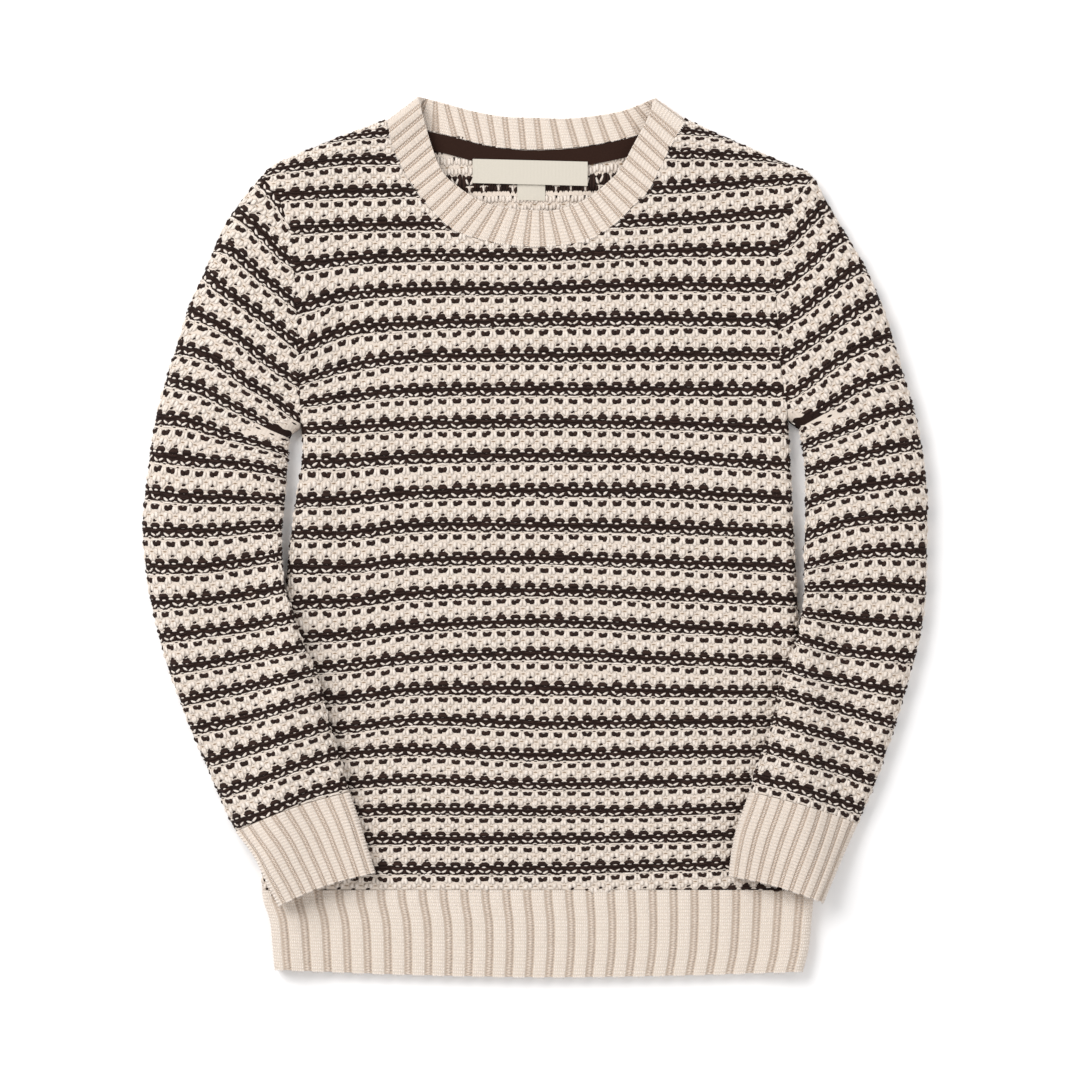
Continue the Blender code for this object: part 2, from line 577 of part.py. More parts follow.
def sleeve(name, side, rows, front, back):
    """A soft hollow tube from the armhole to the cuff's seam, as its two laid sides."""
    for half, shares, panel in ((name, TOP_SHARES, front),
                                (name + "_under", UNDER_SHARES, back)):
        upper = half == name
        sections = [section(row, shares, upper) for row in rows]
        skin = parted(np.array([points for points, _ in sections]), upper)
        inside = skin - WALL * np.array([normal for _, normal in sections])
        first_out, first_in = (armhole_row(side, grid, len(shares)) for grid in panel)
        wall(half, np.concatenate([[first_out], skin]),
             np.concatenate([[first_in], inside]), "patterned knit")


def cuff(name, rows):
    """A ribbed cuff from the sleeve's last section to its open end."""
    phases = rib_phases(CUFF_RIBS)
    outside, inside = [], []
    for index, row in enumerate(rows):
        top = np.hstack(section(row, TOP_SHARES, True))
        low = np.hstack(section(row, UNDER_SHARES, False))
        top = read_along(top, phases / CUFF_RIBS, 3)
        skin = np.vstack([top, low[-2:0:-1]])
        if index == 0:
            next_row = rows[1]
            step = np.array(next_row[0:2]) + next_row[2:4] - np.array(row[0:2]) - row[2:4]
            skin[:, :2] += SEAM_GAP * step / np.linalg.norm(step)
        relief = np.concatenate([rib_relief(phases), np.zeros(len(low) - 2)])
        relief[[0, len(phases) - 1]] = 0.0
        normal = unit(skin[:, 3:])
        outside.append(skin[:, :3] + relief[:, None] * normal)
        inside.append(skin[:, :3] - WALL * normal)
    wall(name, np.array(outside), np.array(inside), "rib knit", ring=True)


# ---------------------------------------------------------------- neck
# Way out of the cloth at the band's two corners, between its front and back seams.
BAND_CORNERS = unit(np.array([(-0.95, 0.2, 0.0), (0.95, 0.2, 0.0)]))


def band_plan(line, phases):
    """Plan grid of a stretch of neckband from its seam edge to its free edge."""
    order = np.argsort(line[:, 4])
    seam_x, seam_y, free_x, free_y = (np.interp(phases, line[order, 4], line[order, column])
                                      for column in range(4))
    seam = np.column_stack([seam_x, seam_y])
    free = np.column_stack([free_x, free_y])
    way = unit(free - seam)
    return np.array([seam + SEAM_GAP * way, (seam + free) / 2, free])


def turned_along_seam(points, normal):
    """Normals of a seam edge with no lean across the seam, so that it meets its twin."""
    run = unit(np.gradient(points[:, :2], axis=0))
    lean = np.sum(normal[:, :2] * run, axis=1)[:, None] * run
    return unit(np.column_stack([lean, normal[:, 2] + 1e-9]))


def neckband():
    """One ribbed ring: its front half lies outside up, its back half inside up."""
    front_end, back_end = int(FRONT_NECK[-1][4]), int(BACK_NECK[-1][4])
    phases = rib_phases(back_end)[:-1]
    relief = rib_relief(phases)
    on_front = phases <= front_end
    front, front_normal = upper_skin(band_plan(FRONT_NECK_LINE, phases[on_front]), (), True)
    back, back_normal = under_skin(band_plan(BACK_NECK_LINE, phases[~on_front]), True)
    for skin, normal in ((front, front_normal), (back, back_normal)):
        normal[0] = turned_along_seam(skin[0], normal[0])
    skin = np.concatenate([front, back], axis=1)
    normal = np.concatenate([front_normal, back_normal], axis=1)
    normal[0, [0, int(np.sum(on_front)) - 1]] = BAND_CORNERS
    out = skin + normal * np.where(on_front, relief, 0.0)[None, :, None]
    inside = skin - normal * (WALL + np.where(on_front, 0.0, relief))[None, :, None]
    wall("neckband", out, inside, "rib knit", ring=True)


def neck_tape():
    """A tape over the back neck seam, laid on the back panel's inner face."""
    line = BACK_NECK_LINE[::-1, :2]
    line = read_along(line, TAPE_SHARES, 2)
    below = line - (0.0, TAPE_WIDTH)
    plan = np.array([line - (0.0, SEAM_GAP), below])
    low = np.full(plan.shape[:2] + (1,), WALL + SEAM_GAP)
    under = np.concatenate([plan, low], axis=2)
    wall("neck_tape", under + (0.0, 0.0, TAPE_THICK), under, "neck tape")


def flat_label(name, centre, size, floor, thick):
    """A bare woven rectangle, a little bowed like a folded ribbon end."""
    across = np.linspace(-0.5, 0.5, LABEL_COLUMNS)
    bow = LABEL_BOW * (1 - (2 * across) ** 2)
    plan = np.array([[(centre[0] + x * size[0], centre[1] + y * size[1], floor + lift)
                      for x, lift in zip(across, bow)] for y in (-0.5, 0.0, 0.5)])
    wall(name, plan + (0.0, 0.0, thick), plan, "woven label")


# ---------------------------------------------------------------- the sweater
def main():
    for item in list(bpy.data.objects):
        bpy.data.objects.remove(item)
    garment = bpy.data.collections.new("crewneck sweater")
    bpy.context.scene.collection.children.link(garment)

    front = body_front()
    back = body_back()
    hem()
    sleeve("sleeve_left", 0, LEFT_SLEEVE, front, back)
    sleeve("sleeve_right", 1, RIGHT_SLEEVE, front, back)
    cuff("cuff_left", LEFT_SLEEVE[-1:] + LEFT_CUFF)
    cuff("cuff_right", RIGHT_SLEEVE[-1:] + RIGHT_CUFF)
    neckband()
    neck_tape()
    tape_top = WALL + SEAM_GAP + TAPE_THICK
    flat_label("neck_label", LABEL_CENTRE, LABEL_SIZE, tape_top + SEAM_GAP, LABEL_THICK)
    flat_label("size_tab", TAB_CENTRE, TAB_SIZE, WALL + SEAM_GAP, TAB_THICK)


main()
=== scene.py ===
"""A child's crewneck sweater in a two-colour knit, laid flat on its back.

The body and the sleeves are knitted in one small repeat: a dark brown course between
fields of long cream stitches, with cream stitches slipped over the brown. The neckband,
the cuffs and the hem are plain cream rib. +X is the viewer's right, +Y runs toward the
neck and +Z is up. Tables are in millimetres, meshes in metres.
"""
import math

import bmesh
import bpy
import numpy as np
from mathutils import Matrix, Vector


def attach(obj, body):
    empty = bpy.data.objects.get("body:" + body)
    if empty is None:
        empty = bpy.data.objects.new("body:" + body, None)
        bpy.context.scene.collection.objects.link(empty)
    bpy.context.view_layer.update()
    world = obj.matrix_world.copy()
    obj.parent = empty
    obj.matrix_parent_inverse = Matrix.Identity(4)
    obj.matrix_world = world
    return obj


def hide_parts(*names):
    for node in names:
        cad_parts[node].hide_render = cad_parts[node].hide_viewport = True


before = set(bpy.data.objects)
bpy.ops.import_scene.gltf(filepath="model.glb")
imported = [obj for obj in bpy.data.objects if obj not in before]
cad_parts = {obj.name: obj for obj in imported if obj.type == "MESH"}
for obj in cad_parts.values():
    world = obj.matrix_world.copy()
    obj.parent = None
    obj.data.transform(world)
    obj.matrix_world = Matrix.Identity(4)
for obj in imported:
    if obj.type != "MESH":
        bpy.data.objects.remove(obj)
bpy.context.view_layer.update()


# ============================================================ back and front panels
# Two flat knitted panels, sewn together at the sides and over the shoulders. The back
# lies on the table, outside down. The front lies on it, a little lifted at every fold,
# along the armholes and at the neck, where seams and turned cloth are under it.
MM = 0.001
WALL = 3.0              # the knit, with the floats on its inside
SEAM_GAP = 0.3
LAID_HEIGHT = 7.2       # top of the front where it lies on the back
FOLD_HEIGHT = 11.5      # top beside a fold and along an armhole
NECK_HEIGHT = 9.6
FOLD_REACH = 34.0
NECK_REACH = 30.0
EDGE_LEVEL = 0.45       # height of a fold's outermost line, as a share
UNDER_ROLL = 4.0
SIDE_ROLL = 7.0
HEM_TOP = -187.0        # where the pattern ends and the hem's rib begins

# Side from the hem's corner to the armpit.                          columns: x, y
LEFT_SIDE = [(-138, -229), (-139, -218), (-140.5, -203), (-144.5, -189), (-144, -165),
             (-141.5, -125), (-138, -85), (-134.5, -50), (-131.5, -22), (-129, 4),
             (-126, 24), (-123, 44), (-124, 58)]
RIGHT_SIDE = [(142, -230), (145, -218), (146.5, -203), (147.5, -189), (146.5, -165),
              (144.5, -125), (142, -85), (140, -50), (138.5, -22), (137, 4),
              (136, 24), (135, 44), (134, 62)]
# Start of each sleeve's inner fold below the armpit.           columns: x, y, roll
LEFT_ARMPIT = [(-127.0, 55.8, 9), (-130.0, 51.5, 10)]
RIGHT_ARMPIT = [(137.4, 59.6, 9), (140.5, 54.5, 10)]
# Armhole seam from the armpit to the shoulder's tip.                columns: x, y
LEFT_ARMHOLE = [(-124, 58), (-125, 94), (-126.5, 126), (-128, 150), (-132, 170),
                (-138, 183), (-145, 191)]
RIGHT_ARMHOLE = [(134, 62), (129.5, 94), (127.5, 126), (128, 150), (133, 170),
                 (140, 183), (147, 191)]
# Fold of the upper sleeve, the shoulder and the neckband.      columns: x, y, roll
LEFT_TOP = [(-174.0, 142.5, 24), (-165.0, 164.0, 18), (-156.5, 177.0, 13),
            (-145, 191, 9), (-138, 197, 9), (-128, 202, 9), (-97, 214.5, 8),
            (-78.5, 221, 7)]
RIGHT_TOP = [(175.5, 141.5, 24), (166.5, 157.5, 18), (159.0, 170.0, 13),
             (147, 191, 9), (138, 196, 9), (127, 200.5, 9), (108.5, 208.5, 8),
             (80.5, 221, 7)]
BAND_FOLD_ENDS = [(-62.0, 233.7, 6.0), (64.0, 233.0, 6.0)]
CAP_ROWS = 3            # rows of a top fold that belong to the sleeve
# Neckband.                      columns: seam x, seam y, free x, free y, ribs so far
FRONT_NECK = [
    (-78.5, 221.0, -62.0, 233.7, 0.0), (-76.0, 207.5, -59.0, 222.0, 2.2),
    (-69.5, 193.5, -54.5, 206.5, 5.0), (-62.5, 182.5, -49.0, 193.5, 7.2),
    (-53.5, 171.5, -40.0, 185.0, 9.3), (-42.5, 162.0, -28.5, 178.0, 11.5),
    (-27.0, 157.0, -17.5, 175.0, 13.6), (-14.5, 154.5, -8.5, 173.5, 15.0),
    (0.0, 153.5, 0.5, 173.0, 16.5), (14.5, 154.5, 9.5, 173.0, 18.2),
    (28.0, 157.0, 19.0, 175.5, 20.0), (40.5, 164.0, 28.5, 180.0, 22.0),
    (51.5, 174.5, 38.0, 187.5, 24.0), (60.0, 183.0, 45.5, 195.5, 26.0),
    (66.5, 195.5, 52.5, 208.5, 28.2), (72.5, 207.5, 59.0, 220.5, 30.4),
    (80.5, 221.0, 64.0, 233.0, 32.0)]
BACK_NECK = [
    (80.5, 221.0, 64.0, 233.0, 32.0), (56.0, 213.5, 47.5, 226.5, 35.0),
    (37.0, 209.0, 32.0, 223.5, 37.2), (20.5, 206.5, 16.0, 222.0, 39.2),
    (2.0, 205.5, 0.0, 222.5, 41.1), (-14.0, 206.0, -16.0, 223.0, 43.0),
    (-29.0, 208.5, -33.0, 226.0, 45.1), (-46.0, 213.0, -49.5, 230.5, 47.4),
    (-78.5, 221.0, -62.0, 233.7, 50.0)]
# Soft troughs in the front.          columns: x, y of each end, width, depth
FRONT_CREASES = [(-99, 126, -99, 12, 5.0, 0.9), (-116, 72, -104, 96, 6.0, 1.0),
                 (121, 78, 106, 100, 6.0, 1.0), (-112, -60, -96, -78, 6.0, 0.7)]

SHOULDER_SHARES = (0, .004, .012, .025, .045, .07, .1, .14, .19, .25, .33, .42, .52,
                   .63, .75, .87, 1)
NECK_COLUMNS = 42
SIDE_ROWS = 56
# Places across a sleeve from its outer edge, and so along the armhole from its tip.
SLEEVE_SHARES = np.array((0, .004, .016, .04, .08, .14, .2, .26, .32, .38, .44, .5, .56, .62,
                          .68, .74, .8, .86, .91, .95, .975, .993, 1))
SIDE_PULL = 12          # how fast the sides' shape fades toward the middle
ROUND_STEPS = 8
ON_FOLD = 0.02

# The knit. One stitch column is 7.7 mm wide and one repeat about 18 mm tall. The dark
# courses of the front, from the neck down:       y at each x of COURSE_X
STITCH = 7.69
COURSE_EXTENSION = 50.0
COURSE_X = (-119, -98, -61, 3, 66, 114)
BODY_COURSES = [
    (212, 213, 215.5, 217, 216, 213), (198, 201, 200.5, 202.5, 204.5, 202),
    (182.5, 183.5, 184, 184.5, 185, 188.5), (164.5, 165.5, 166, 166, 168, 171.5),
    (145.5, 148, 149.5, 149.5, 152, 152.5), (124, 129, 131.5, 132, 134, 133.5),
    (102.5, 111, 113.5, 115.5, 116, 115), (84.5, 91, 96, 96.5, 97, 97),
    (72, 75, 78, 78.5, 78.5, 78.5), (58, 58.5, 60.5, 61.5, 60.5, 59),
    (40.5, 41, 43, 43.5, 43, 40), (19.5, 20.5, 23.5, 25, 24.5, 22),
    (2.5, 2.5, 6.5, 6.5, 5.5, 4), (-15.5, -15.5, -12, -11, -13, -14.5),
    (-34.5, -33.5, -29.5, -28, -30, -32), (-52.5, -51.5, -47, -44.5, -47, -49),
    (-69, -67.5, -63.5, -61.5, -64, -65.5), (-85, -85, -80.5, -80, -81.5, -82),
    (-100.5, -101, -96.5, -98.5, -98, -97.5), (-116, -114, -112.5, -115.5, -114, -113.5),
    (-131.5, -130.5, -128.5, -131, -129.5, -128.5),
    (-145.5, -145, -144, -145, -145, -143), (-160, -160, -159.5, -159.5, -158.5, -157.5),
    (-175.5, -175.5, -175.5, -175.5, -174, -172.5)]
BACK_COURSE = 186.6     # height of the brown course that the neck shows of the back
BACK_RISE = 3.0         # the back's courses lie this much higher than the front's
BACK_STRETCH = 0.22     # above that course each mm takes this much less of the pattern
CHART_SPAN = 64.0       # stitches that one width of the UV map holds
FIRST_COURSE = 26.0     # the first dark course lies this many repeats up the map


def smooth(t):
    """0 at 0 and below, 1 at 1 and above, with soft ends."""
    t = np.clip(t, 0.0, 1.0)
    return t * t * (3.0 - 2.0 * t)


def round_path(rows, steps=ROUND_STEPS):
    """A round curve through the rows, in short runs."""
    points = np.array(rows, float)
    guide = np.vstack([2 * points[0] - points[1], points, 2 * points[-1] - points[-2]])
    fine = []
    for a, b, c, d in zip(guide, guide[1:], guide[2:], guide[3:]):
        for t in np.linspace(0, 1, steps, endpoint=False):
            bend = (2 * a - 5 * b + 4 * c - d) * t ** 2 + (3 * b - a - 3 * c + d) * t ** 3
            fine.append(0.5 * (2 * b + (c - a) * t + bend))
    fine.append(points[-1])
    return np.array(fine)


def lengths(rows, axes):
    """How far along a polyline each of its points is, over its first axes."""
    steps = np.linalg.norm(np.diff(rows[:, :axes], axis=0), axis=1)
    return np.concatenate([[0.0], np.cumsum(steps)])


def read_along(rows, shares, axes=2):
    """Rows of a polyline at shares of its length."""
    length = lengths(rows, axes)
    places = np.array(shares) * length[-1]
    return np.column_stack([np.interp(places, length, column) for column in rows.T])


def nearest_on(path, points):
    """Distance from each point to a path, the way to it and the path's own columns."""
    best = np.full(len(points), np.inf)
    away = np.zeros((len(points), 2))
    columns = np.zeros((len(points), path.shape[1]))
    for start, end in zip(path[:-1], path[1:]):
        run = end[:2] - start[:2]
        share = np.clip((points - start[:2]) @ run / (run @ run), 0.0, 1.0)
        foot = start + share[:, None] * (end - start)
        offset = points - foot[:, :2]
        distance = np.linalg.norm(offset, axis=1)
        closer = distance < best
        best[closer] = distance[closer]
        away[closer] = offset[closer]
        columns[closer] = foot[closer]
    return best, away, columns


def unit(vectors):
    return vectors / np.maximum(np.linalg.norm(vectors, axis=-1, keepdims=True), 1e-9)


TOPS = [round_path(LEFT_TOP), round_path(RIGHT_TOP)]
SHOULDERS = [path[CAP_ROWS * ROUND_STEPS:, :2] for path in TOPS]
SIDES = [round_path(LEFT_SIDE), round_path(RIGHT_SIDE)]
ARMHOLES = [round_path(LEFT_ARMHOLE), round_path(RIGHT_ARMHOLE)]
FRONT_NECK_LINE = round_path(FRONT_NECK)
BACK_NECK_LINE = round_path(BACK_NECK)


def side_fold(side, armpit):
    rolls = np.full((len(side), 1), SIDE_ROLL)
    return np.vstack([np.hstack([side, rolls]), armpit])


# The lines where the laid cloth turns over, each with the cloth on its right.
FOLDS = [np.vstack([TOPS[0], BAND_FOLD_ENDS[0]]),
         np.vstack([TOPS[1], BAND_FOLD_ENDS[1]])[::-1],
         side_fold(SIDES[0], LEFT_ARMPIT),
         side_fold(SIDES[1], RIGHT_ARMPIT)[::-1]]


def inward_at(path, points):
    """Way into the cloth for points that lie on the fold line itself."""
    total = np.zeros((len(points), 2))
    for start, end in zip(path[:-1], path[1:]):
        run = end[:2] - start[:2]
        share = np.clip((points - start[:2]) @ run / (run @ run), 0.0, 1.0)
        gap = np.linalg.norm(points - start[:2] - share[:, None] * run, axis=1)
        right_hand = np.array([run[1], -run[0]]) / np.linalg.norm(run)
        total += (gap < ON_FOLD)[:, None] * right_hand
    return total


def fold_at(points):
    """Distance to the nearest fold in roll widths, in mm, its roll and the way in."""
    count = len(points)
    share = np.full(count, np.inf)
    distance = np.full(count, np.inf)
    roll = np.ones(count)
    inward = np.zeros((count, 2))
    for path in FOLDS:
        gap, away, columns = nearest_on(path, points)
        way = unit(np.where((gap < ON_FOLD)[:, None], inward_at(path, points), away))
        closer = gap / columns[:, 2] < share
        share[closer] = (gap / columns[:, 2])[closer]
        roll[closer] = columns[closer, 2]
        inward[closer] = way[closer]
        distance = np.minimum(distance, gap)
    return share, distance, roll, inward


def plateau(points, fold_distance, in_band=False):
    """Height of the laid cloth away from the rounding of its folds."""
    armhole = np.minimum(*(nearest_on(path, points)[0] for path in ARMHOLES))
    lifted = smooth(1 - np.minimum(fold_distance, armhole) / FOLD_REACH)
    neck = 0.0 if in_band else nearest_on(FRONT_NECK_LINE, points)[0]
    near_neck = smooth(1 - neck / NECK_REACH)
    return LAID_HEIGHT + np.maximum((FOLD_HEIGHT - LAID_HEIGHT) * lifted,
                                    (NECK_HEIGHT - LAID_HEIGHT) * near_neck)


def rounding(share):
    """Height and slope of a rounded edge: (0, 1) on the fold, (1, 0) past its roll."""
    across = 1 - np.clip(share, 0.0, 1.0)
    return np.sqrt(1 - across ** 2), across


def turned_length(share, roll, rise):
    """How much more cloth than plan there is from a rolled edge's crown to a point."""
    angle = np.arccos(np.clip(1 - np.clip(share, 0.0, 1.0), 0.0, 1.0))
    steps = (np.arange(16) + 0.5) / 16
    turn = angle[..., None] + (math.pi / 2 - angle[..., None]) * steps
    speed = np.sqrt((roll[..., None] * np.sin(turn)) ** 2
                    + (rise[..., None] * np.cos(turn)) ** 2)
    return speed.mean(-1) * (math.pi / 2 - angle) - roll * np.cos(angle)


def crease_depth(points, creases):
    """How far the soft troughs sink the cloth at each plan point."""
    depth = np.zeros(len(points))
    for x0, y0, x1, y1, width, deepest in creases:
        off = nearest_on(np.array([(x0, y0), (x1, y1)], float), points)[0]
        depth += deepest * np.exp(-(off / width) ** 2)
    return depth


def upper_skin(plan, creases=(), in_band=False):
    """Top of the laid body: its points, normals and where they lie unrolled."""
    points = plan.reshape(-1, 2)
    share, distance, roll, inward = fold_at(points)
    height = plateau(points, distance, in_band)
    edge = EDGE_LEVEL * height
    rise, slope = rounding(share)
    z = edge + (height - edge) * rise - crease_depth(points, creases) * rise
    normal = unit(np.column_stack([-inward * (slope / roll)[:, None],
                                   rise / (height - edge)]))
    flat = points - inward * turned_length(share, roll, height - edge)[:, None]
    grid = plan.shape[:-1]
    return (np.column_stack([points, z + SEAM_GAP / 2]).reshape(grid + (3,)),
            normal.reshape(grid + (3,)), flat.reshape(grid + (2,)))


def under_skin(plan, in_band=False):
    """Underside of the laid body: flat on the table, rounded up to the folds."""
    points = plan.reshape(-1, 2)
    share, distance, roll, inward = fold_at(points)
    edge = EDGE_LEVEL * plateau(points, distance, in_band)
    rise, slope = rounding(share * roll / UNDER_ROLL)
    z = edge * (1 - rise)
    z = z - np.where(z > SEAM_GAP, SEAM_GAP / 2, 0.0)
    normal = unit(np.column_stack([-inward * (slope / UNDER_ROLL)[:, None], -rise / edge]))
    grid = plan.shape[:-1]
    return (np.column_stack([points, z]).reshape(grid + (3,)),
            normal.reshape(grid + (3,)), points.reshape(grid + (2,)))


def course_paths(rows):
    """Each course as a round path, with the stitch number along it as a third column.
    The stitches are counted from one wale that crosses every course squarely."""
    paths = []
    for row in rows:
        row = np.array(row, float)
        start = row[0] + COURSE_EXTENSION * unit(row[0] - row[1])
        end = row[-1] + COURSE_EXTENSION * unit(row[-1] - row[-2])
        path = round_path([start, *row, end], 6)
        paths.append(np.column_stack([path, lengths(path, 2)]))
    middle = len(paths) // 2
    start = read_along(paths[middle], [0.5])[0, :2]
    counted = [None] * len(paths)
    for order in (range(middle, len(paths)), range(middle, -1, -1)):
        point = start
        for k in order:
            foot = nearest_on(paths[k], point[None])[2][0]
            point = foot[:2]
            counted[k] = paths[k] - (0.0, 0.0, foot[2])
            counted[k][:, 2] /= STITCH
    return counted


def stitch_map(courses, flat):
    """Stitch and course numbers of points on the unrolled cloth, as a UV map."""
    points = flat.reshape(-1, 2)
    above, across = [], []
    for path in courses:
        gap, _, columns = nearest_on(path, points)
        sign = np.sign(points[:, 1] - np.interp(points[:, 0], path[:, 0], path[:, 1]))
        above.append(gap * sign)
        across.append(columns[:, 2])
    above, across = np.array(above), np.array(across)
    below = np.clip(np.sum(above < 0, axis=0), 1, len(courses) - 1)
    index = np.arange(len(points))
    high, low = above[below - 1, index], above[below, index]
    share = high / np.where(np.abs(high - low) < 1e-9, 1.0, high - low)
    v = -(below - 1 + share)
    mix = np.clip(share, 0, 1)
    u = (1 - mix) * across[below - 1, index] + mix * across[below, index]
    grid = np.column_stack([u + CHART_SPAN / 2, v + FIRST_COURSE]) / CHART_SPAN
    return grid.reshape(flat.shape[:-1] + (2,))


def panel_plan(neck, shoulder_shares, side_shares, armhole_shares):
    """Plan grid of a panel between its hem, sides, armholes, shoulders and neck."""
    edges = []
    for side, armhole in zip(SIDES, ARMHOLES):
        low = np.interp(HEM_TOP, side[:, 1], side[:, 0])
        path = np.vstack([(low, HEM_TOP), side[side[:, 1] > HEM_TOP]])
        edges.append(np.vstack([read_along(path, side_shares)[:-1],
                                read_along(armhole, armhole_shares)]))
    left, right = edges
    top = np.vstack([read_along(SHOULDERS[0], shoulder_shares), neck[1:-1],
                     read_along(SHOULDERS[1], shoulder_shares)[::-1]])
    across = (top[:, 0] - top[0, 0]) / (top[-1, 0] - top[0, 0])
    level = top[0, 1] + across * (top[-1, 1] - top[0, 1])
    climb = (left[:, 1] - HEM_TOP) / (left[-1, 1] - HEM_TOP)
    plan = []
    for start, end, share in zip(left, right, climb):
        x = (top[:, 0] + (start[0] - top[0, 0]) * (1 - across) ** SIDE_PULL
             + (end[0] - top[-1, 0]) * across ** SIDE_PULL)
        y = (1 - across) * start[1] + across * end[1] + share * (top[:, 1] - level)
        plan.append(np.column_stack([x, y]))
    plan[0][:, 1] += SEAM_GAP / 2
    return np.array(plan)


def crowded(count):
    """Shares from 0 to 1 that lie closer together at both ends."""
    return 0.5 - 0.5 * np.cos(np.linspace(0, math.pi, count))


def cloth(name, outside, inside, chart, inner_chart=None):
    """A closed wall of cloth between two point grids, with a UV map for its stitches.
    Grids whose last column repeats the first are welded into a tube there."""
    rows, columns = outside.shape[:2]
    count = rows * columns
    index = np.arange(count).reshape(rows, columns)
    a, b, c, d = index[:-1, :-1], index[:-1, 1:], index[1:, 1:], index[1:, :-1]
    quads = np.stack([a, b, c, d], axis=-1).reshape(-1, 4)
    ring = np.allclose(outside[:, 0], outside[:, -1])
    border = [index[0], index[-1]] + ([] if ring else [index[:, 0], index[:, -1]])
    rim = [np.column_stack([line[:-1], line[:-1] + count, line[1:] + count, line[1:]])
           for line in border]
    faces = np.vstack([quads, quads[:, ::-1] + count] + rim)
    points = np.vstack([outside.reshape(-1, 3), inside.reshape(-1, 3)]) * MM
    mesh = bpy.data.meshes.new(name)
    mesh.from_pydata(points.tolist(), [], faces.tolist())
    spots = np.vstack([chart.reshape(-1, 2),
                       (chart if inner_chart is None else inner_chart).reshape(-1, 2)])
    layer = mesh.uv_layers.new(name="chart")
    corner = np.zeros(len(mesh.loops), int)
    mesh.loops.foreach_get("vertex_index", corner)
    layer.uv.foreach_set("vector", spots[corner].ravel())
    bm = bmesh.new()
    bm.from_mesh(mesh)
    if ring:
        bmesh.ops.remove_doubles(bm, verts=bm.verts, dist=2e-6)
    bmesh.ops.recalc_face_normals(bm, faces=bm.faces)
    bm.to_mesh(mesh)
    bm.free()
    mesh.shade_smooth()
    mesh.set_sharp_from_angle(angle=math.radians(50))
    piece = bpy.data.objects.new(name, mesh)
    bpy.context.scene.collection.objects.link(piece)
    return piece


def add(tree, kind, inputs=None, **settings):
    """Adds a node with its settings. Inputs are values, or sockets to link from."""
    node = tree.nodes.new(kind)
    for name, value in settings.items():
        setattr(node, name, value)
    for name, value in (inputs or {}).items():
        if isinstance(value, bpy.types.NodeSocket):
            tree.links.new(value, node.inputs[name])
        else:
            node.inputs[name].default_value = value
    return node


def linear(code):
    """An sRGB hex colour as linear red, green, blue and alpha."""
    parts = [int(code[i:i + 2], 16) / 255 for i in (1, 3, 5)]
    return tuple(c / 12.92 if c <= 0.04045 else ((c + 0.055) / 1.055) ** 2.4
                 for c in parts) + (1.0,)


# Wool-blend knit. Its yarn is spun soft, so light spreads over it with a faint halo of
# fibres and no gloss, and the brown is dyed through while the cream is undyed wool.
# The cream ground is painted a little darker than the cream yarn on it: painted shade in the
# gaps between the raised strands.
CREAM = "#e0d4c8"
CREAM_GROUND_SHADE = "#cebfb1"
BROWN = "#2a1a14"
BROWN_SHADE = "#190e0a"
# painted shade: the tan spots where four long cream stitches meet stand in for the shade down
# in the hole
HOLE_SHADE = "#8a745e"        # the deep spots where four long cream stitches meet
FIBRE = 0.35            # mm between the fibres' highlights
# Heights in the painted pattern, in repeats from the middle of a brown course. A mark is
# painted where a column's cosine, moved by FLAT times the height off AT, passes its FADES.
COURSE_TOP = (0.165, 0.145)
COURSE_BOTTOM = (-0.225, -0.205)
COURSE_RISE = 0.038     # the course's top is this much higher over each column
HEART_AT, HEART_FLAT, HEART_FADES = 0.380, 18.0, (0.1, 0.3)
BAR_AT, BAR_FLAT, BAR_FADES = 0.085, 30.0, (-0.55, -0.75)
BAR_RISE = 0.03
HOLE_AT, HOLE_FLAT, HOLE_FADES = 0.40, 22.0, (-0.35, -0.75)


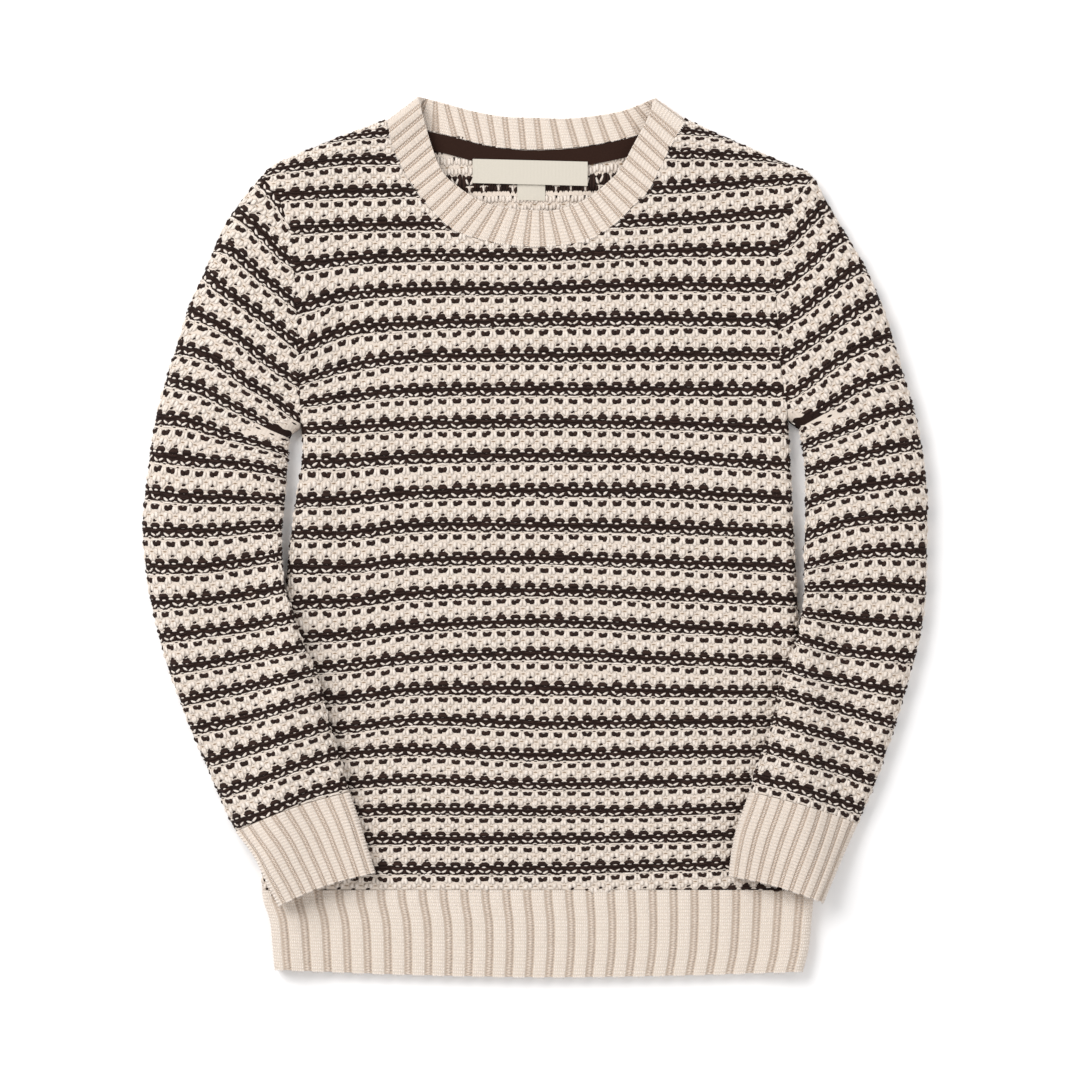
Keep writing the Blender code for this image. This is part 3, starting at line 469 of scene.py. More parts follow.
def wool_knit(name, barred):
    """The patterned cloth between and under its raised stitches."""
    material = bpy.data.materials.new(name)
    material.use_nodes = True
    tree = material.node_tree
    shader = tree.nodes["Principled BSDF"]
    where = add(tree, "ShaderNodeUVMap", uv_map="chart").outputs[0]
    spot = add(tree, "ShaderNodeVectorMath", {0: where, "Scale": CHART_SPAN},
               operation="SCALE").outputs[0]
    axes = add(tree, "ShaderNodeSeparateXYZ", {0: spot})
    column = add(tree, "ShaderNodeMath", {0: axes.outputs[0], 1: 2 * math.pi},
                 operation="MULTIPLY").outputs[0]
    wave = add(tree, "ShaderNodeMath", {0: column}, operation="COSINE").outputs[0]
    shifted = add(tree, "ShaderNodeMath", {0: axes.outputs[1], 1: 0.5},
                  operation="ADD").outputs[0]
    within = add(tree, "ShaderNodeMath", {0: shifted}, operation="FRACT").outputs[0]
    course = add(tree, "ShaderNodeMath", {0: within, 1: 0.5},
                 operation="SUBTRACT").outputs[0]
    # The brown course: higher over each column, and its lower edge even.
    lifted = add(tree, "ShaderNodeMath", {0: wave, 1: -COURSE_RISE, 2: course},
                 operation="MULTIPLY_ADD").outputs[0]
    top = add(tree, "ShaderNodeMapRange", {"Value": lifted, "From Min": COURSE_TOP[0],
                                           "From Max": COURSE_TOP[1]}).outputs[0]
    bottom = add(tree, "ShaderNodeMapRange", {
        "Value": course, "From Min": COURSE_BOTTOM[0],
        "From Max": COURSE_BOTTOM[1]}).outputs[0]
    band = add(tree, "ShaderNodeMath", {0: top, 1: bottom}, operation="MULTIPLY").outputs[0]
    # A brown stitch shows on each column under the course.
    low = add(tree, "ShaderNodeMath", {0: course, 1: HEART_AT}, operation="ADD").outputs[0]
    low = add(tree, "ShaderNodeMath", {0: low}, operation="ABSOLUTE").outputs[0]
    heart = add(tree, "ShaderNodeMath", {0: low, 1: -HEART_FLAT, 2: wave},
                operation="MULTIPLY_ADD").outputs[0]
    heart = add(tree, "ShaderNodeMapRange", {"Value": heart, "From Min": HEART_FADES[0],
                                             "From Max": HEART_FADES[1]}).outputs[0]
    dark = add(tree, "ShaderNodeMath", {0: band, 1: heart}, operation="MAXIMUM").outputs[0]
    if barred:
        # Where no strands are laid, cream bars across the course are in the colour.
        slip = add(tree, "ShaderNodeMath", {0: course, 1: BAR_AT},
                   operation="ADD").outputs[0]
        slip = add(tree, "ShaderNodeMath", {0: wave, 1: BAR_RISE, 2: slip},
                   operation="MULTIPLY_ADD").outputs[0]
        slip = add(tree, "ShaderNodeMath", {0: slip}, operation="ABSOLUTE").outputs[0]
        bar = add(tree, "ShaderNodeMath", {0: slip, 1: -BAR_FLAT, 2: wave},
                  operation="MULTIPLY_ADD").outputs[0]
        shown = add(tree, "ShaderNodeMapRange", {"Value": bar, "From Min": BAR_FADES[0],
                                                 "From Max": BAR_FADES[1]}).outputs[0]
        dark = add(tree, "ShaderNodeMath", {0: dark, 1: shown},
                   operation="MULTIPLY").outputs[0]
    place = add(tree, "ShaderNodeTexCoord").outputs["Object"]
    fibre = add(tree, "ShaderNodeTexNoise", {"Vector": place, "Scale": 1 / (FIBRE * MM),
                                             "Detail": 3.0}).outputs[0]
    cream = add(tree, "ShaderNodeMix", {0: fibre, 6: linear(CREAM_GROUND_SHADE),
                                        7: linear(CREAM)}, data_type="RGBA").outputs[2]
    brown = add(tree, "ShaderNodeMix", {0: fibre, 6: linear(BROWN_SHADE),
                                        7: linear(BROWN)}, data_type="RGBA").outputs[2]
    # Where four long cream stitches meet, a darker tan spot is painted: painted shade down in
    # the hole between them.
    hole_shade = add(tree, "ShaderNodeMath", {0: course, 1: -HOLE_AT},
               operation="ADD").outputs[0]
    hole_shade = add(tree, "ShaderNodeMath", {0: hole_shade}, operation="ABSOLUTE").outputs[0]
    hole_shade = add(tree, "ShaderNodeMath", {0: hole_shade, 1: HOLE_FLAT, 2: wave},
               operation="MULTIPLY_ADD").outputs[0]
    hole_shade = add(tree, "ShaderNodeMapRange", {"Value": hole_shade, "From Min": HOLE_FADES[0],
                                            "From Max": HOLE_FADES[1]}).outputs[0]
    cream = add(tree, "ShaderNodeMix", {0: hole_shade, 6: cream, 7: linear(HOLE_SHADE)},
                data_type="RGBA").outputs[2]
    colour = add(tree, "ShaderNodeMix", {0: dark, 6: cream, 7: brown},
                 data_type="RGBA").outputs[2]
    tree.links.new(colour, shader.inputs["Base Color"])
    # Long cream stitches stand up in pairs on each half column.
    double = add(tree, "ShaderNodeMath", {0: axes.outputs[0], 1: 8 * math.pi},
                 operation="MULTIPLY").outputs[0]
    ridge = add(tree, "ShaderNodeMath", {0: double}, operation="COSINE").outputs[0]
    relief = add(tree, "ShaderNodeMath", {0: ridge, 1: 0.25, 2: fibre},
                 operation="MULTIPLY_ADD").outputs[0]
    bump = add(tree, "ShaderNodeBump", {"Height": relief, "Distance": 0.0004,
                                        "Strength": 0.6}).outputs[0]
    tree.links.new(bump, shader.inputs["Normal"])
    shader.inputs["Roughness"].default_value = 0.95
    shader.inputs["Specular IOR Level"].default_value = 0.2
    return material


KNIT = wool_knit("two-colour wool knit", False)
KNIT_UNDERSIDE = wool_knit("two-colour wool knit underside", True)
COURSES = course_paths([list(zip(COURSE_X, row)) for row in BODY_COURSES])
neck = read_along(FRONT_NECK_LINE, crowded(NECK_COLUMNS))[:, :2]
plan = panel_plan(neck, SHOULDER_SHARES, np.linspace(0, 1, SIDE_ROWS),
                  1 - SLEEVE_SHARES[::-1])
front_skin, front_normal, front_flat = upper_skin(plan, FRONT_CREASES)
front_chart = stitch_map(COURSES, front_flat)
body_front = cloth("front_panel", front_skin, front_skin - WALL * front_normal,
                   front_chart)
neck = read_along(BACK_NECK_LINE[::-1], crowded(NECK_COLUMNS))[:, :2]
plan = panel_plan(neck, SHOULDER_SHARES, np.linspace(0, 1, SIDE_ROWS),
                  1 - SLEEVE_SHARES[::-1])
back_skin, back_normal, back_flat = under_skin(plan)
above = np.maximum(back_flat[..., 1] - BACK_COURSE, 0.0)
back_chart = stitch_map(COURSES, back_flat - np.stack(
    [above * 0.0, BACK_RISE + BACK_STRETCH * above], axis=-1))
body_back = cloth("back_panel", back_skin, back_skin - WALL * back_normal,
                  back_chart)
for piece, node, knit in ((body_front, "body_front", KNIT),
                          (body_back, "body_back", KNIT_UNDERSIDE)):
    piece.data.materials.append(knit)
    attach(piece, "root")
    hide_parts(node)


# ============================================================ hem rib
# The last 42 mm of the front and the back are knitted on as a rib: three plain stitches
# stand up as a round cord and two purl stitches sink between them. Its free edge is the
# knit's cast-on.
HEM_RIBS = 27
HEM_EDGE = [(-138, -229), (-80, -231.5), (0, -233.2), (80, -232.2), (142, -230)]
HEM_ROWS = 15
RIB_RAISED = 0.6
RIB_SUNK = 0.4
PURL_HALF = 0.11        # half of the sunk part, and the slope beside it, in ribs
RIB_SLOPE = 0.15
RIB_CREST = ("#cfc0b1", "#e0d3c6")
# painted shade: the sunk purl valleys are painted darker and warmer than the crests
RIB_VALLEY_SHADE = "#bca998"
RIB_PHASES = (0, 0.12, 0.2, 0.28, 0.4, 0.5, 0.6, 0.72, 0.8, 0.88)
RIB_ROW = 1.77          # mm between two rows of the rib's stitches
HEM_UNDER_COLUMNS = 60


def rib_relief(phases):
    """How far the rib stands out of the wall at each phase."""
    off = np.abs(phases - np.round(phases))
    return (RIB_RAISED + RIB_SUNK) * smooth((off - PURL_HALF) / RIB_SLOPE) - RIB_SUNK


def rib_phases(first, last):
    return np.array([rib + phase for rib in range(first, last) for phase in RIB_PHASES]
                    + [last])


def rounded_shares(width, roll, rise, shares):
    """Shares across a laid piece whose edges turn down, so that ribs crowd there."""
    arc = math.pi / 4 * (roll + rise)
    whole = width - 2 * roll + 2 * arc
    walked = np.array(shares) * whole
    near = np.minimum(walked, whole - walked)
    turned = roll * (1 - np.cos(np.clip(near / arc, 0, 1) * math.pi / 2))
    inset = np.where(near < arc, turned, roll + near - arc)
    return np.where(walked < whole / 2, inset, width - inset) / width


def hem_plan(shares):
    """Plan grid of the hem's rib, from its free edge up to the panel."""
    low = read_along(round_path(HEM_EDGE), shares)
    ends = [(np.interp(HEM_TOP, side[:, 1], side[:, 0]), HEM_TOP - SEAM_GAP / 2)
            for side in SIDES]
    high = ends[0] + np.array(shares)[:, None] * (np.array(ends[1]) - ends[0])
    plan = []
    for climb in np.linspace(0, 1, HEM_ROWS):
        row = low + climb * (high - low)
        for end, side in ((0, SIDES[0]), (-1, SIDES[1])):
            shift = np.interp(row[end, 1], side[:, 1], side[:, 0]) - row[end, 0]
            pull = np.array(shares) if end else 1 - np.array(shares)
            row[:, 0] += shift * pull
        plan.append(row)
    return np.array(plan)


def rib_chart(skin, phases, towards_seam=1):
    """UV map of a rib: its ribs across and its rows of stitches along."""
    steps = np.linalg.norm(np.diff(skin, axis=0), axis=-1).mean(axis=1)
    rows = np.concatenate([[0.0], np.cumsum(steps)]) / RIB_ROW
    u, v = np.meshgrid(phases, rows if towards_seam > 0 else rows[-1] - rows)
    return np.dstack([u, v + 1]) / CHART_SPAN


def rib_knit():
    """Plain wool rib. The yarn is the same undyed cream as the pattern's ground; the purl
    valleys are painted darker and warmer: painted shade in the sunk valleys, lit only through
    the wool."""
    material = bpy.data.materials.new("undyed wool rib")
    material.use_nodes = True
    tree = material.node_tree
    shader = tree.nodes["Principled BSDF"]
    where = add(tree, "ShaderNodeUVMap", uv_map="chart").outputs[0]
    spot = add(tree, "ShaderNodeVectorMath", {0: where, "Scale": CHART_SPAN},
               operation="SCALE").outputs[0]
    axes = add(tree, "ShaderNodeSeparateXYZ", {0: spot})
    turn = add(tree, "ShaderNodeMath", {0: axes.outputs[0], 1: 2 * math.pi},
               operation="MULTIPLY").outputs[0]
    wave = add(tree, "ShaderNodeMath", {0: turn}, operation="COSINE").outputs[0]
    valley_shade = add(tree, "ShaderNodeMapRange", {"Value": wave, "From Min": 0.15,
                                              "From Max": 0.6}).outputs[0]
    place = add(tree, "ShaderNodeTexCoord").outputs["Object"]
    fibre = add(tree, "ShaderNodeTexNoise", {"Vector": place, "Scale": 1 / (FIBRE * MM),
                                             "Detail": 3.0}).outputs[0]
    crest = add(tree, "ShaderNodeMix", {0: fibre, 6: linear(RIB_CREST[0]),
                                        7: linear(RIB_CREST[1])}, data_type="RGBA").outputs[2]
    colour = add(tree, "ShaderNodeMix", {0: valley_shade, 6: crest, 7: linear(RIB_VALLEY_SHADE)},
                 data_type="RGBA").outputs[2]
    tree.links.new(colour, shader.inputs["Base Color"])
    bump = add(tree, "ShaderNodeBump", {"Height": fibre, "Distance": 0.0003,
                                        "Strength": 0.6}).outputs[0]
    tree.links.new(bump, shader.inputs["Normal"])
    shader.inputs["Roughness"].default_value = 0.95
    shader.inputs["Sheen Weight"].default_value = 0.25
    shader.inputs["Sheen Roughness"].default_value = 0.6
    return material


RIB = rib_knit()
phases = rib_phases(0, HEM_RIBS)
hem_width = HEM_EDGE[-1][0] - HEM_EDGE[0][0]
shares = rounded_shares(hem_width, SIDE_ROLL, (1 - EDGE_LEVEL) * FOLD_HEIGHT,
                        phases / HEM_RIBS)
skin, hem_normal, _ = upper_skin(hem_plan(shares))
hem_skin = skin + hem_normal * rib_relief(phases)[None, :, None]
hem_chart = rib_chart(skin, phases)
hem_front = cloth("hem_rib_front_knit", hem_skin, skin - WALL * hem_normal, hem_chart)
shares = crowded(HEM_UNDER_COLUMNS)
skin, normal, _ = under_skin(hem_plan(shares))
hem_back = cloth("hem_rib_back_knit", skin, skin - WALL * normal,
                 rib_chart(skin, shares * HEM_RIBS))
for piece, node in ((hem_front, "hem_rib_front"), (hem_back, "hem_rib_back")):
    piece.data.materials.append(RIB)
    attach(piece, "root")
    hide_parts(node)


# ============================================================ sleeves
# Each sleeve is one patterned panel sewn into a tube and on to the armhole. Laid flat it
# keeps some air, so its outer edge is round, and its forearm rises over the body's side.

# Each row is a cross-section: bulge is how far it bows toward the body, thick and
# thick_in its height in the middle and at its inner edge, the rolls its round edges.
# columns: outer x, outer y, inner x, inner y, bulge, thick, thick_in, roll_out, roll_in
LEFT_SLEEVE = [
    (-156.5, 177.0, -124.3, 57.5, 7.0, 14.0, 11.5, 13, 7),
    (-165.0, 164.0, -124.6, 57.2, 6.0, 15.6, 11.6, 18, 7),
    (-174.0, 142.5, -125.0, 57.0, 5.0, 17.3, 11.8, 24, 7),
    (-183.0, 122.5, -125.5, 56.7, 3.5, 18.7, 12.0, 26, 8),
    (-189.0, 103.0, -126.0, 56.4, 2.0, 19.5, 12.2, 26, 8),
    (-195.5, 82.5, -127.0, 55.8, 1.0, 20.0, 12.6, 26, 9),
    (-200.5, 64.0, -130.0, 51.5, 0.0, 20.0, 13.6, 25, 10),
    (-203.5, 45.0, -131.5, 35.5, 0.0, 19.5, 14.6, 24, 12),
    (-206.0, 24.5, -132.5, 20.5, 0.0, 19.0, 14.6, 24, 12),
    (-207.8, 6.0, -134.0, 6.5, 0.0, 18.5, 14.4, 24, 12),
    (-206.2, -15.5, -134.0, -8.5, 0.0, 18.0, 14.0, 23, 12),
    (-203.2, -35.0, -132.0, -27.0, 0.0, 17.6, 13.8, 22, 12),
    (-198.8, -53.0, -126.5, -44.0, 0.0, 17.2, 13.6, 21, 12),
    (-194.2, -70.0, -121.5, -58.0, 0.0, 16.8, 13.3, 19, 11),
    (-187.8, -87.0, -115.5, -71.5, 0.0, 16.4, 13.0, 17, 10),
    (-182.2, -102.0, -112.0, -84.0, 0.0, 16.0, 12.7, 15, 9),
    (-174.8, -119.0, -108.5, -99.0, 0.0, 15.4, 12.4, 13, 9),
    (-167.8, -135.5, -104.0, -113.5, -0.5, 14.7, 12.0, 11, 8),
    (-161.2, -150.5, -100.0, -128.0, -1.5, 13.9, 11.6, 9, 8),
    (-158.5, -155.5, -98.5, -134.5, -2.0, 13.5, 11.4, 9, 8)]
RIGHT_SLEEVE = [
    (159.0, 170.0, 134.4, 61.5, 11.0, 14.0, 11.5, 13, 7),
    (166.5, 157.5, 134.7, 61.2, 9.0, 15.6, 11.6, 18, 7),
    (175.5, 141.5, 135.1, 61.0, 7.0, 17.3, 11.8, 24, 7),
    (184.0, 122.5, 135.6, 60.7, 5.0, 18.7, 12.0, 26, 8),
    (190.5, 102.0, 136.2, 60.4, 3.0, 19.5, 12.2, 26, 8),
    (196.5, 81.0, 137.4, 59.6, 1.5, 20.0, 12.6, 26, 9),
    (201.0, 66.0, 140.5, 54.5, 0.0, 20.0, 13.6, 25, 10),
    (204.5, 49.5, 143.0, 36.5, 0.0, 19.5, 14.6, 24, 12),
    (207.0, 30.0, 143.6, 18.0, 0.0, 19.0, 14.6, 24, 12),
    (207.8, 13.0, 143.0, 1.5, 0.0, 18.5, 14.4, 24, 12),
    (207.5, -7.0, 142.2, -13.0, 0.0, 18.0, 14.0, 23, 12),
    (207.0, -27.0, 142.5, -28.0, 0.0, 17.6, 13.8, 22, 12),
    (205.3, -45.0, 140.8, -41.0, 0.0, 17.2, 13.6, 21, 12),
    (201.2, -63.5, 138.5, -53.5, 0.0, 16.8, 13.3, 19, 11),
    (195.8, -82.5, 133.0, -67.0, 0.0, 16.4, 13.0, 17, 10),
    (191.2, -98.5, 128.2, -81.0, 0.0, 16.0, 12.7, 15, 9),
    (186.0, -114.0, 126.0, -96.0, 0.0, 15.4, 12.4, 13, 9),
    (180.6, -129.5, 121.5, -110.0, -0.5, 14.7, 12.0, 11, 8),
    (174.4, -144.0, 115.8, -125.5, -1.0, 13.9, 11.6, 9, 8),
    (171.0, -151.5, 114.0, -134.5, -1.5, 13.5, 11.4, 9, 8)]
# The dark courses, each a line over the top of the sleeve, from the shoulder down.
LEFT_COURSES = [
    [(-156.5, 198), (-144.5, 190.5), (-135, 179), (-127, 166.5)],
    [(-158.5, 175), (-146, 163), (-133, 150.5), (-123, 142.5)],
    [(-169, 155), (-158.5, 151.5), (-146, 140), (-133, 129.5), (-123, 122.5)],
    [(-174, 141.5), (-165, 131.5), (-152, 123), (-139.5, 114), (-123, 100.5)],
    [(-183, 121.5), (-171, 115), (-158.5, 107.5), (-146, 97.5), (-133, 87.5), (-123, 82)],
    [(-190.5, 101), (-177.5, 98), (-165, 92), (-152, 82), (-139.5, 74.5), (-126.5, 64)],
    [(-194.5, 84.5), (-177.5, 79.5), (-165, 73), (-152, 66), (-139, 58.5), (-129, 54)],
    [(-201, 63.5), (-184, 62), (-171, 57.5), (-158.5, 53.5), (-146, 50), (-133, 46)],
    [(-203, 44.5), (-184, 41.5), (-165, 40), (-146, 38), (-133, 34.5)],
    [(-205.5, 24), (-184, 21.5), (-165, 21), (-133, 20)],
    [(-206.5, 4), (-184, 3.5), (-165, 4), (-146, 6), (-134.5, 6)],
    [(-205, -15.5), (-177.5, -15.5), (-165, -14), (-139.5, -10), (-135.5, -9)],
    [(-203, -34.5), (-177.5, -33), (-152, -30), (-133, -26.5)],
    [(-199, -52.5), (-177.5, -50), (-152, -47), (-133, -43)],
    [(-194.5, -69.5), (-177.5, -67), (-152, -62.5), (-126.5, -58.5)],
    [(-188, -86.5), (-171, -83), (-146, -77.5), (-120.5, -71.5)],
    [(-183, -101), (-158.5, -96.5), (-133, -89.5), (-114, -83.5)],
    [(-175, -118.5), (-158.5, -114), (-133, -106), (-114, -100.5)],
    [(-168, -135), (-152, -130), (-126.5, -120.5), (-107.5, -114.5)],
    [(-161.5, -151.5), (-146, -146), (-120.5, -135.5), (-101, -130)]]
RIGHT_COURSES = [
    [(131.5, 177), (138, 186), (147, 195.5), (156.5, 202.5)],
    [(127.5, 153), (140.5, 164.5), (153, 176)],
    [(127.5, 132.5), (140.5, 141.5), (153, 152.5), (164, 162)],
    [(127.5, 112.5), (140.5, 120), (153, 130.5), (166, 141), (172, 144)],
    [(127.5, 93.5), (140.5, 101), (153, 109), (166, 118.5), (178.5, 126)],
    [(130, 73.5), (140.5, 79.5), (153, 89), (166, 98), (185, 106.5)],
    [(140.5, 61), (147, 65), (159.5, 73), (172, 81), (191.5, 87.5)],
    [(140.5, 48), (147, 51), (159.5, 55.5), (172, 61), (185, 66), (197.5, 68.5)],
    [(149, 37), (166, 42), (185, 47), (204, 50.5)],
    [(144.5, 18.5), (159.5, 24), (178.5, 28), (206, 31.5)],
    [(142.5, 1), (159.5, 7.5), (178.5, 10.5), (206, 13)],
    [(142.5, -15), (159.5, -10.5), (178.5, -7), (206, -7)],
    [(147, -26), (166, -25.5), (185, -25), (206, -26.5)],
    [(140.5, -39.5), (159.5, -42), (178.5, -44), (204, -46)],
    [(138.5, -52.5), (147, -55), (166, -60), (202, -63)],
    [(134, -69), (147, -72.5), (166, -76.5), (195.5, -82)],
    [(134, -82.5), (159.5, -89.5), (191.5, -98.5)],
    [(134, -98), (159.5, -105.5), (185, -113.5)],
    [(134, -114), (159.5, -121.5), (180.5, -129)],
    [(121.5, -127.5), (140.5, -132.5), (174.5, -144)]]
SLEEVE_CREASES = [(-130, 53, -162, 62, 7.0, 1.6), (-132, 70, -150, 80, 6.0, 1.0),
                  (140, 56, 170, 66, 7.0, 1.6), (-140, -52, -168, -44, 8.0, 1.0),
                  (146, -44, 176, -40, 8.0, 1.0)]
UNDER_GROWTH = 0.25     # the underside rolls wider by this share of the tube's bulk
REST_CLEARANCE = 0.9    # space under a sleeve that lies on the body
DRAPE_OUTSIDE = 24.0
DRAPE_INSIDE = 7.0
CROSSING_START = 20.0   # y where the sleeves begin to rise on to the body
CROSSING_LENGTH = 44.0
SLEEVE_STEPS = 4


def support(points):
    """Height of what lies under a sleeve: the table, or the body it crosses."""
    left, right = SIDES
    inside = np.minimum(points[:, 0] - np.interp(points[:, 1], left[:, 1], left[:, 0]),
                        np.interp(points[:, 1], right[:, 1], right[:, 0]) - points[:, 0])
    body = plateau(points, np.maximum(inside, 0.0)) + REST_CLEARANCE + RIB_RAISED
    onto = smooth((inside + DRAPE_OUTSIDE) / (DRAPE_OUTSIDE + DRAPE_INSIDE))
    crossing = smooth((CROSSING_START - points[:, 1]) / CROSSING_LENGTH)
    return body * onto * crossing


def section(row, shares, upper):
    """One side of a cross-section, from its outer edge to its inner edge: its points,
    normals and where the points lie unrolled."""
    outer, inner = np.array(row[0:2]), np.array(row[2:4])
    bulge, thick, thick_in, roll_out, roll_in = row[4:9]
    shares = np.array(shares, float)
    run = inner - outer
    width = np.linalg.norm(run)
    way = run / width
    across = np.array([-way[1], way[0]])
    toward_body = -across * math.copysign(1, across[0] * outer[0])
    plan = outer + shares[:, None] * run
    plan = plan + (bulge * np.sin(math.pi * shares))[:, None] * toward_body
    if not upper:
        roll_out = roll_in = UNDER_ROLL + UNDER_GROWTH * max(thick - FOLD_HEIGHT, 0.0)
    from_outer, from_inner = shares * width / roll_out, (1 - shares) * width / roll_in
    rise, slope = rounding(np.minimum(from_outer, from_inner))
    outward = from_outer < from_inner
    roll = np.where(outward, roll_out, roll_in)
    turn = np.where(outward, slope, -slope) / roll
    height = thick + (thick_in - thick) * shares ** 2
    edge = EDGE_LEVEL * height
    base = support(plan)
    if upper:
        z = base + edge + (height - edge) * rise - rise * crease_depth(plan, SLEEVE_CREASES)
        lift = rise / (height - edge)
    else:
        z = base + edge * (1 - rise)
        lift = -rise / edge
    normal = unit(np.column_stack([-way[0] * turn, -way[1] * turn, lift]))
    extra = turned_length(np.minimum(from_outer, from_inner), roll, height - edge)
    flat = plan - way * np.where(outward, extra, -extra)[:, None]
    return np.column_stack([plan, z]), normal, flat


def around(top, low):
    """A ring from its inner edge over the top, out, and back along the underside."""
    return np.concatenate([top[..., ::-1, :], low[..., 1:-1, :], top[..., -1:, :]], axis=-2)


def sleeve(name, side, rows, courses):
    """The tube, with its first ring on the panels' armhole edges."""
    column = 0 if side < 0 else -1
    fine = round_path(rows, SLEEVE_STEPS)
    over = [section(row, SLEEVE_SHARES, True) for row in fine]
    under = [section(row, SLEEVE_SHARES, False) for row in fine]
    top, top_normal, top_flat = (np.array([part[k] for part in over]) for k in range(3))
    low, low_normal, _ = (np.array([part[k] for part in under]) for k in range(3))
    count = len(SLEEVE_SHARES)
    shift = (SEAM_GAP * side, 0.0, 0.0)
    first = [grid[-count:, column][::-1] for grid in
             (front_skin, front_normal, front_flat, back_skin, back_normal)]
    top = np.concatenate([[first[0] + shift], top])
    top_normal = np.concatenate([[first[1]], top_normal])
    top_flat = np.concatenate([[first[2]], top_flat])
    low = np.concatenate([[first[3] + shift], low])
    low_normal = np.concatenate([[first[4]], low_normal])
    chart = stitch_map(course_paths(courses), top_flat)
    walked = np.concatenate([np.zeros((len(low), 1)), np.cumsum(
        np.linalg.norm(np.diff(low, axis=1), axis=-1), axis=1)], axis=1)
    blend = walked / walked[:, -1:]
    under_chart = np.stack([
        chart[:, :1, 0] + side * walked / STITCH / CHART_SPAN,
        chart[:, :1, 1] * (1 - blend) + chart[:, -1:, 1] * blend], axis=-1)
    ring_chart = np.concatenate([chart[:, ::-1], under_chart[:, 1:]], axis=1)
    outside, normal = around(top, low), around(top_normal, low_normal)
    piece = cloth(name, outside, outside - WALL * normal, ring_chart)
    piece.data.materials.append(KNIT)
    piece.data.materials.append(KNIT_UNDERSIDE)
    for face in piece.data.polygons:
        face.material_index = int(face.normal.z < -0.2)
    return piece, top, top_normal, chart


sleeve_left, left_skin, left_normal, left_chart = sleeve(
    "sleeve_left_knit", -1, LEFT_SLEEVE, LEFT_COURSES)
sleeve_right, right_skin, right_normal, right_chart = sleeve(
    "sleeve_right_knit", 1, RIGHT_SLEEVE, RIGHT_COURSES)
for piece, node in ((sleeve_left, "sleeve_left"), (sleeve_right, "sleeve_right")):
    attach(piece, "root")
    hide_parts(node, node + "_under")


# ============================================================ cuffs
# The sleeve goes on as a ribbed cuff, knitted of the same cream yarn in a finer rib.
# Both cuffs lie across the body's rib, open toward the hem.
LEFT_CUFF = [
    (-148.4, -168.5, -93.3, -150.0, -2.0, 12.9, 11.0, 8, 7),
    (-141.8, -181.5, -89.0, -164.0, -2.0, 12.0, 10.6, 7, 7),
    (-135.2, -194.5, -84.8, -177.3, -2.0, 11.2, 10.2, 7, 7)]
RIGHT_CUFF = [
    (164.0, -166.5, 107.1, -153.5, -1.5, 12.9, 11.0, 8, 7),
    (158.0, -180.0, 104.4, -166.0, -1.5, 12.0, 10.6, 7, 7),
    (152.4, -193.0, 102.8, -179.0, -1.5, 11.2, 10.2, 7, 7)]
CUFF_RIBS = 10
CUFF_STEPS = 5


def cuff(name, rows):
    """A ribbed tube from the sleeve's last section to its open end."""
    phases = rib_phases(0, CUFF_RIBS)
    outside, inside, normals = [], [], []
    fine = round_path(rows, CUFF_STEPS)
    for index, row in enumerate(fine):
        top = np.hstack(section(row, SLEEVE_SHARES, True))
        low = np.hstack(section(row, SLEEVE_SHARES, False))
        top = read_along(top, phases / CUFF_RIBS, 3)
        relief = np.concatenate([rib_relief(phases)[::-1], np.zeros(len(low) - 1)])
        relief[[0, len(phases) - 1]] = 0.0
        skin = around(top, low)
        if index == 0:
            step = fine[1][0:2] + fine[1][2:4] - row[0:2] - row[2:4]
            skin[:, :2] += SEAM_GAP * step / np.linalg.norm(step)
        normal = unit(skin[:, 3:6])
        outside.append(skin[:, :3] + relief[:, None] * normal)
        inside.append(skin[:, :3] - WALL * normal)
        normals.append(normal)
    outside, inside, normals = np.array(outside), np.array(inside), np.array(normals)
    ring = np.concatenate([phases, CUFF_RIBS * (1 + np.linspace(0, 1, len(low))[1:])])
    chart = rib_chart(outside, ring, -1)
    piece = cloth(name, outside, inside, chart)
    piece.data.materials.append(RIB)
    top = slice(0, len(phases))
    return piece, outside[:, top], normals[:, top], chart[:, top]


cuff_left, left_cuff_skin, left_cuff_normal, left_cuff_chart = cuff(
    "cuff_left_knit", LEFT_SLEEVE[-1:] + LEFT_CUFF)
cuff_right, right_cuff_skin, right_cuff_normal, right_cuff_chart = cuff(
    "cuff_right_knit", RIGHT_SLEEVE[-1:] + RIGHT_CUFF)
for piece, node in ((cuff_left, "cuff_left"), (cuff_right, "cuff_right")):
    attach(piece, "root")
    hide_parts(node)


# ============================================================ neckband
# One ribbed band, picked up around the neck and cast off at its free edge. Its front
# half lies outside up, its back half turns under and shows its inside.
BAND_ROWS = 8
BAND_CORNERS = unit(np.array([(-0.95, 0.2, 0.0), (0.95, 0.2, 0.0)]))


def band_plan(line, phases):
    """Plan grid of a stretch of neckband from its seam edge to its free edge."""
    order = np.argsort(line[:, 4])
    seam_x, seam_y, free_x, free_y = (np.interp(phases, line[order, 4], line[order, column])
                                      for column in range(4))
    seam = np.column_stack([seam_x, seam_y])
    free = np.column_stack([free_x, free_y])
    way = unit(free - seam)
    first = seam + SEAM_GAP * way
    return np.array([first + share * (free - first) for share in np.linspace(0, 1, BAND_ROWS)])


def turned_along_seam(points, normal):
    """Normals of a seam edge with no lean across the seam, so that it meets its twin."""
    run = unit(np.gradient(points[:, :2], axis=0))
    lean = np.sum(normal[:, :2] * run, axis=1)[:, None] * run
    return unit(np.column_stack([lean, normal[:, 2] + 1e-9]))


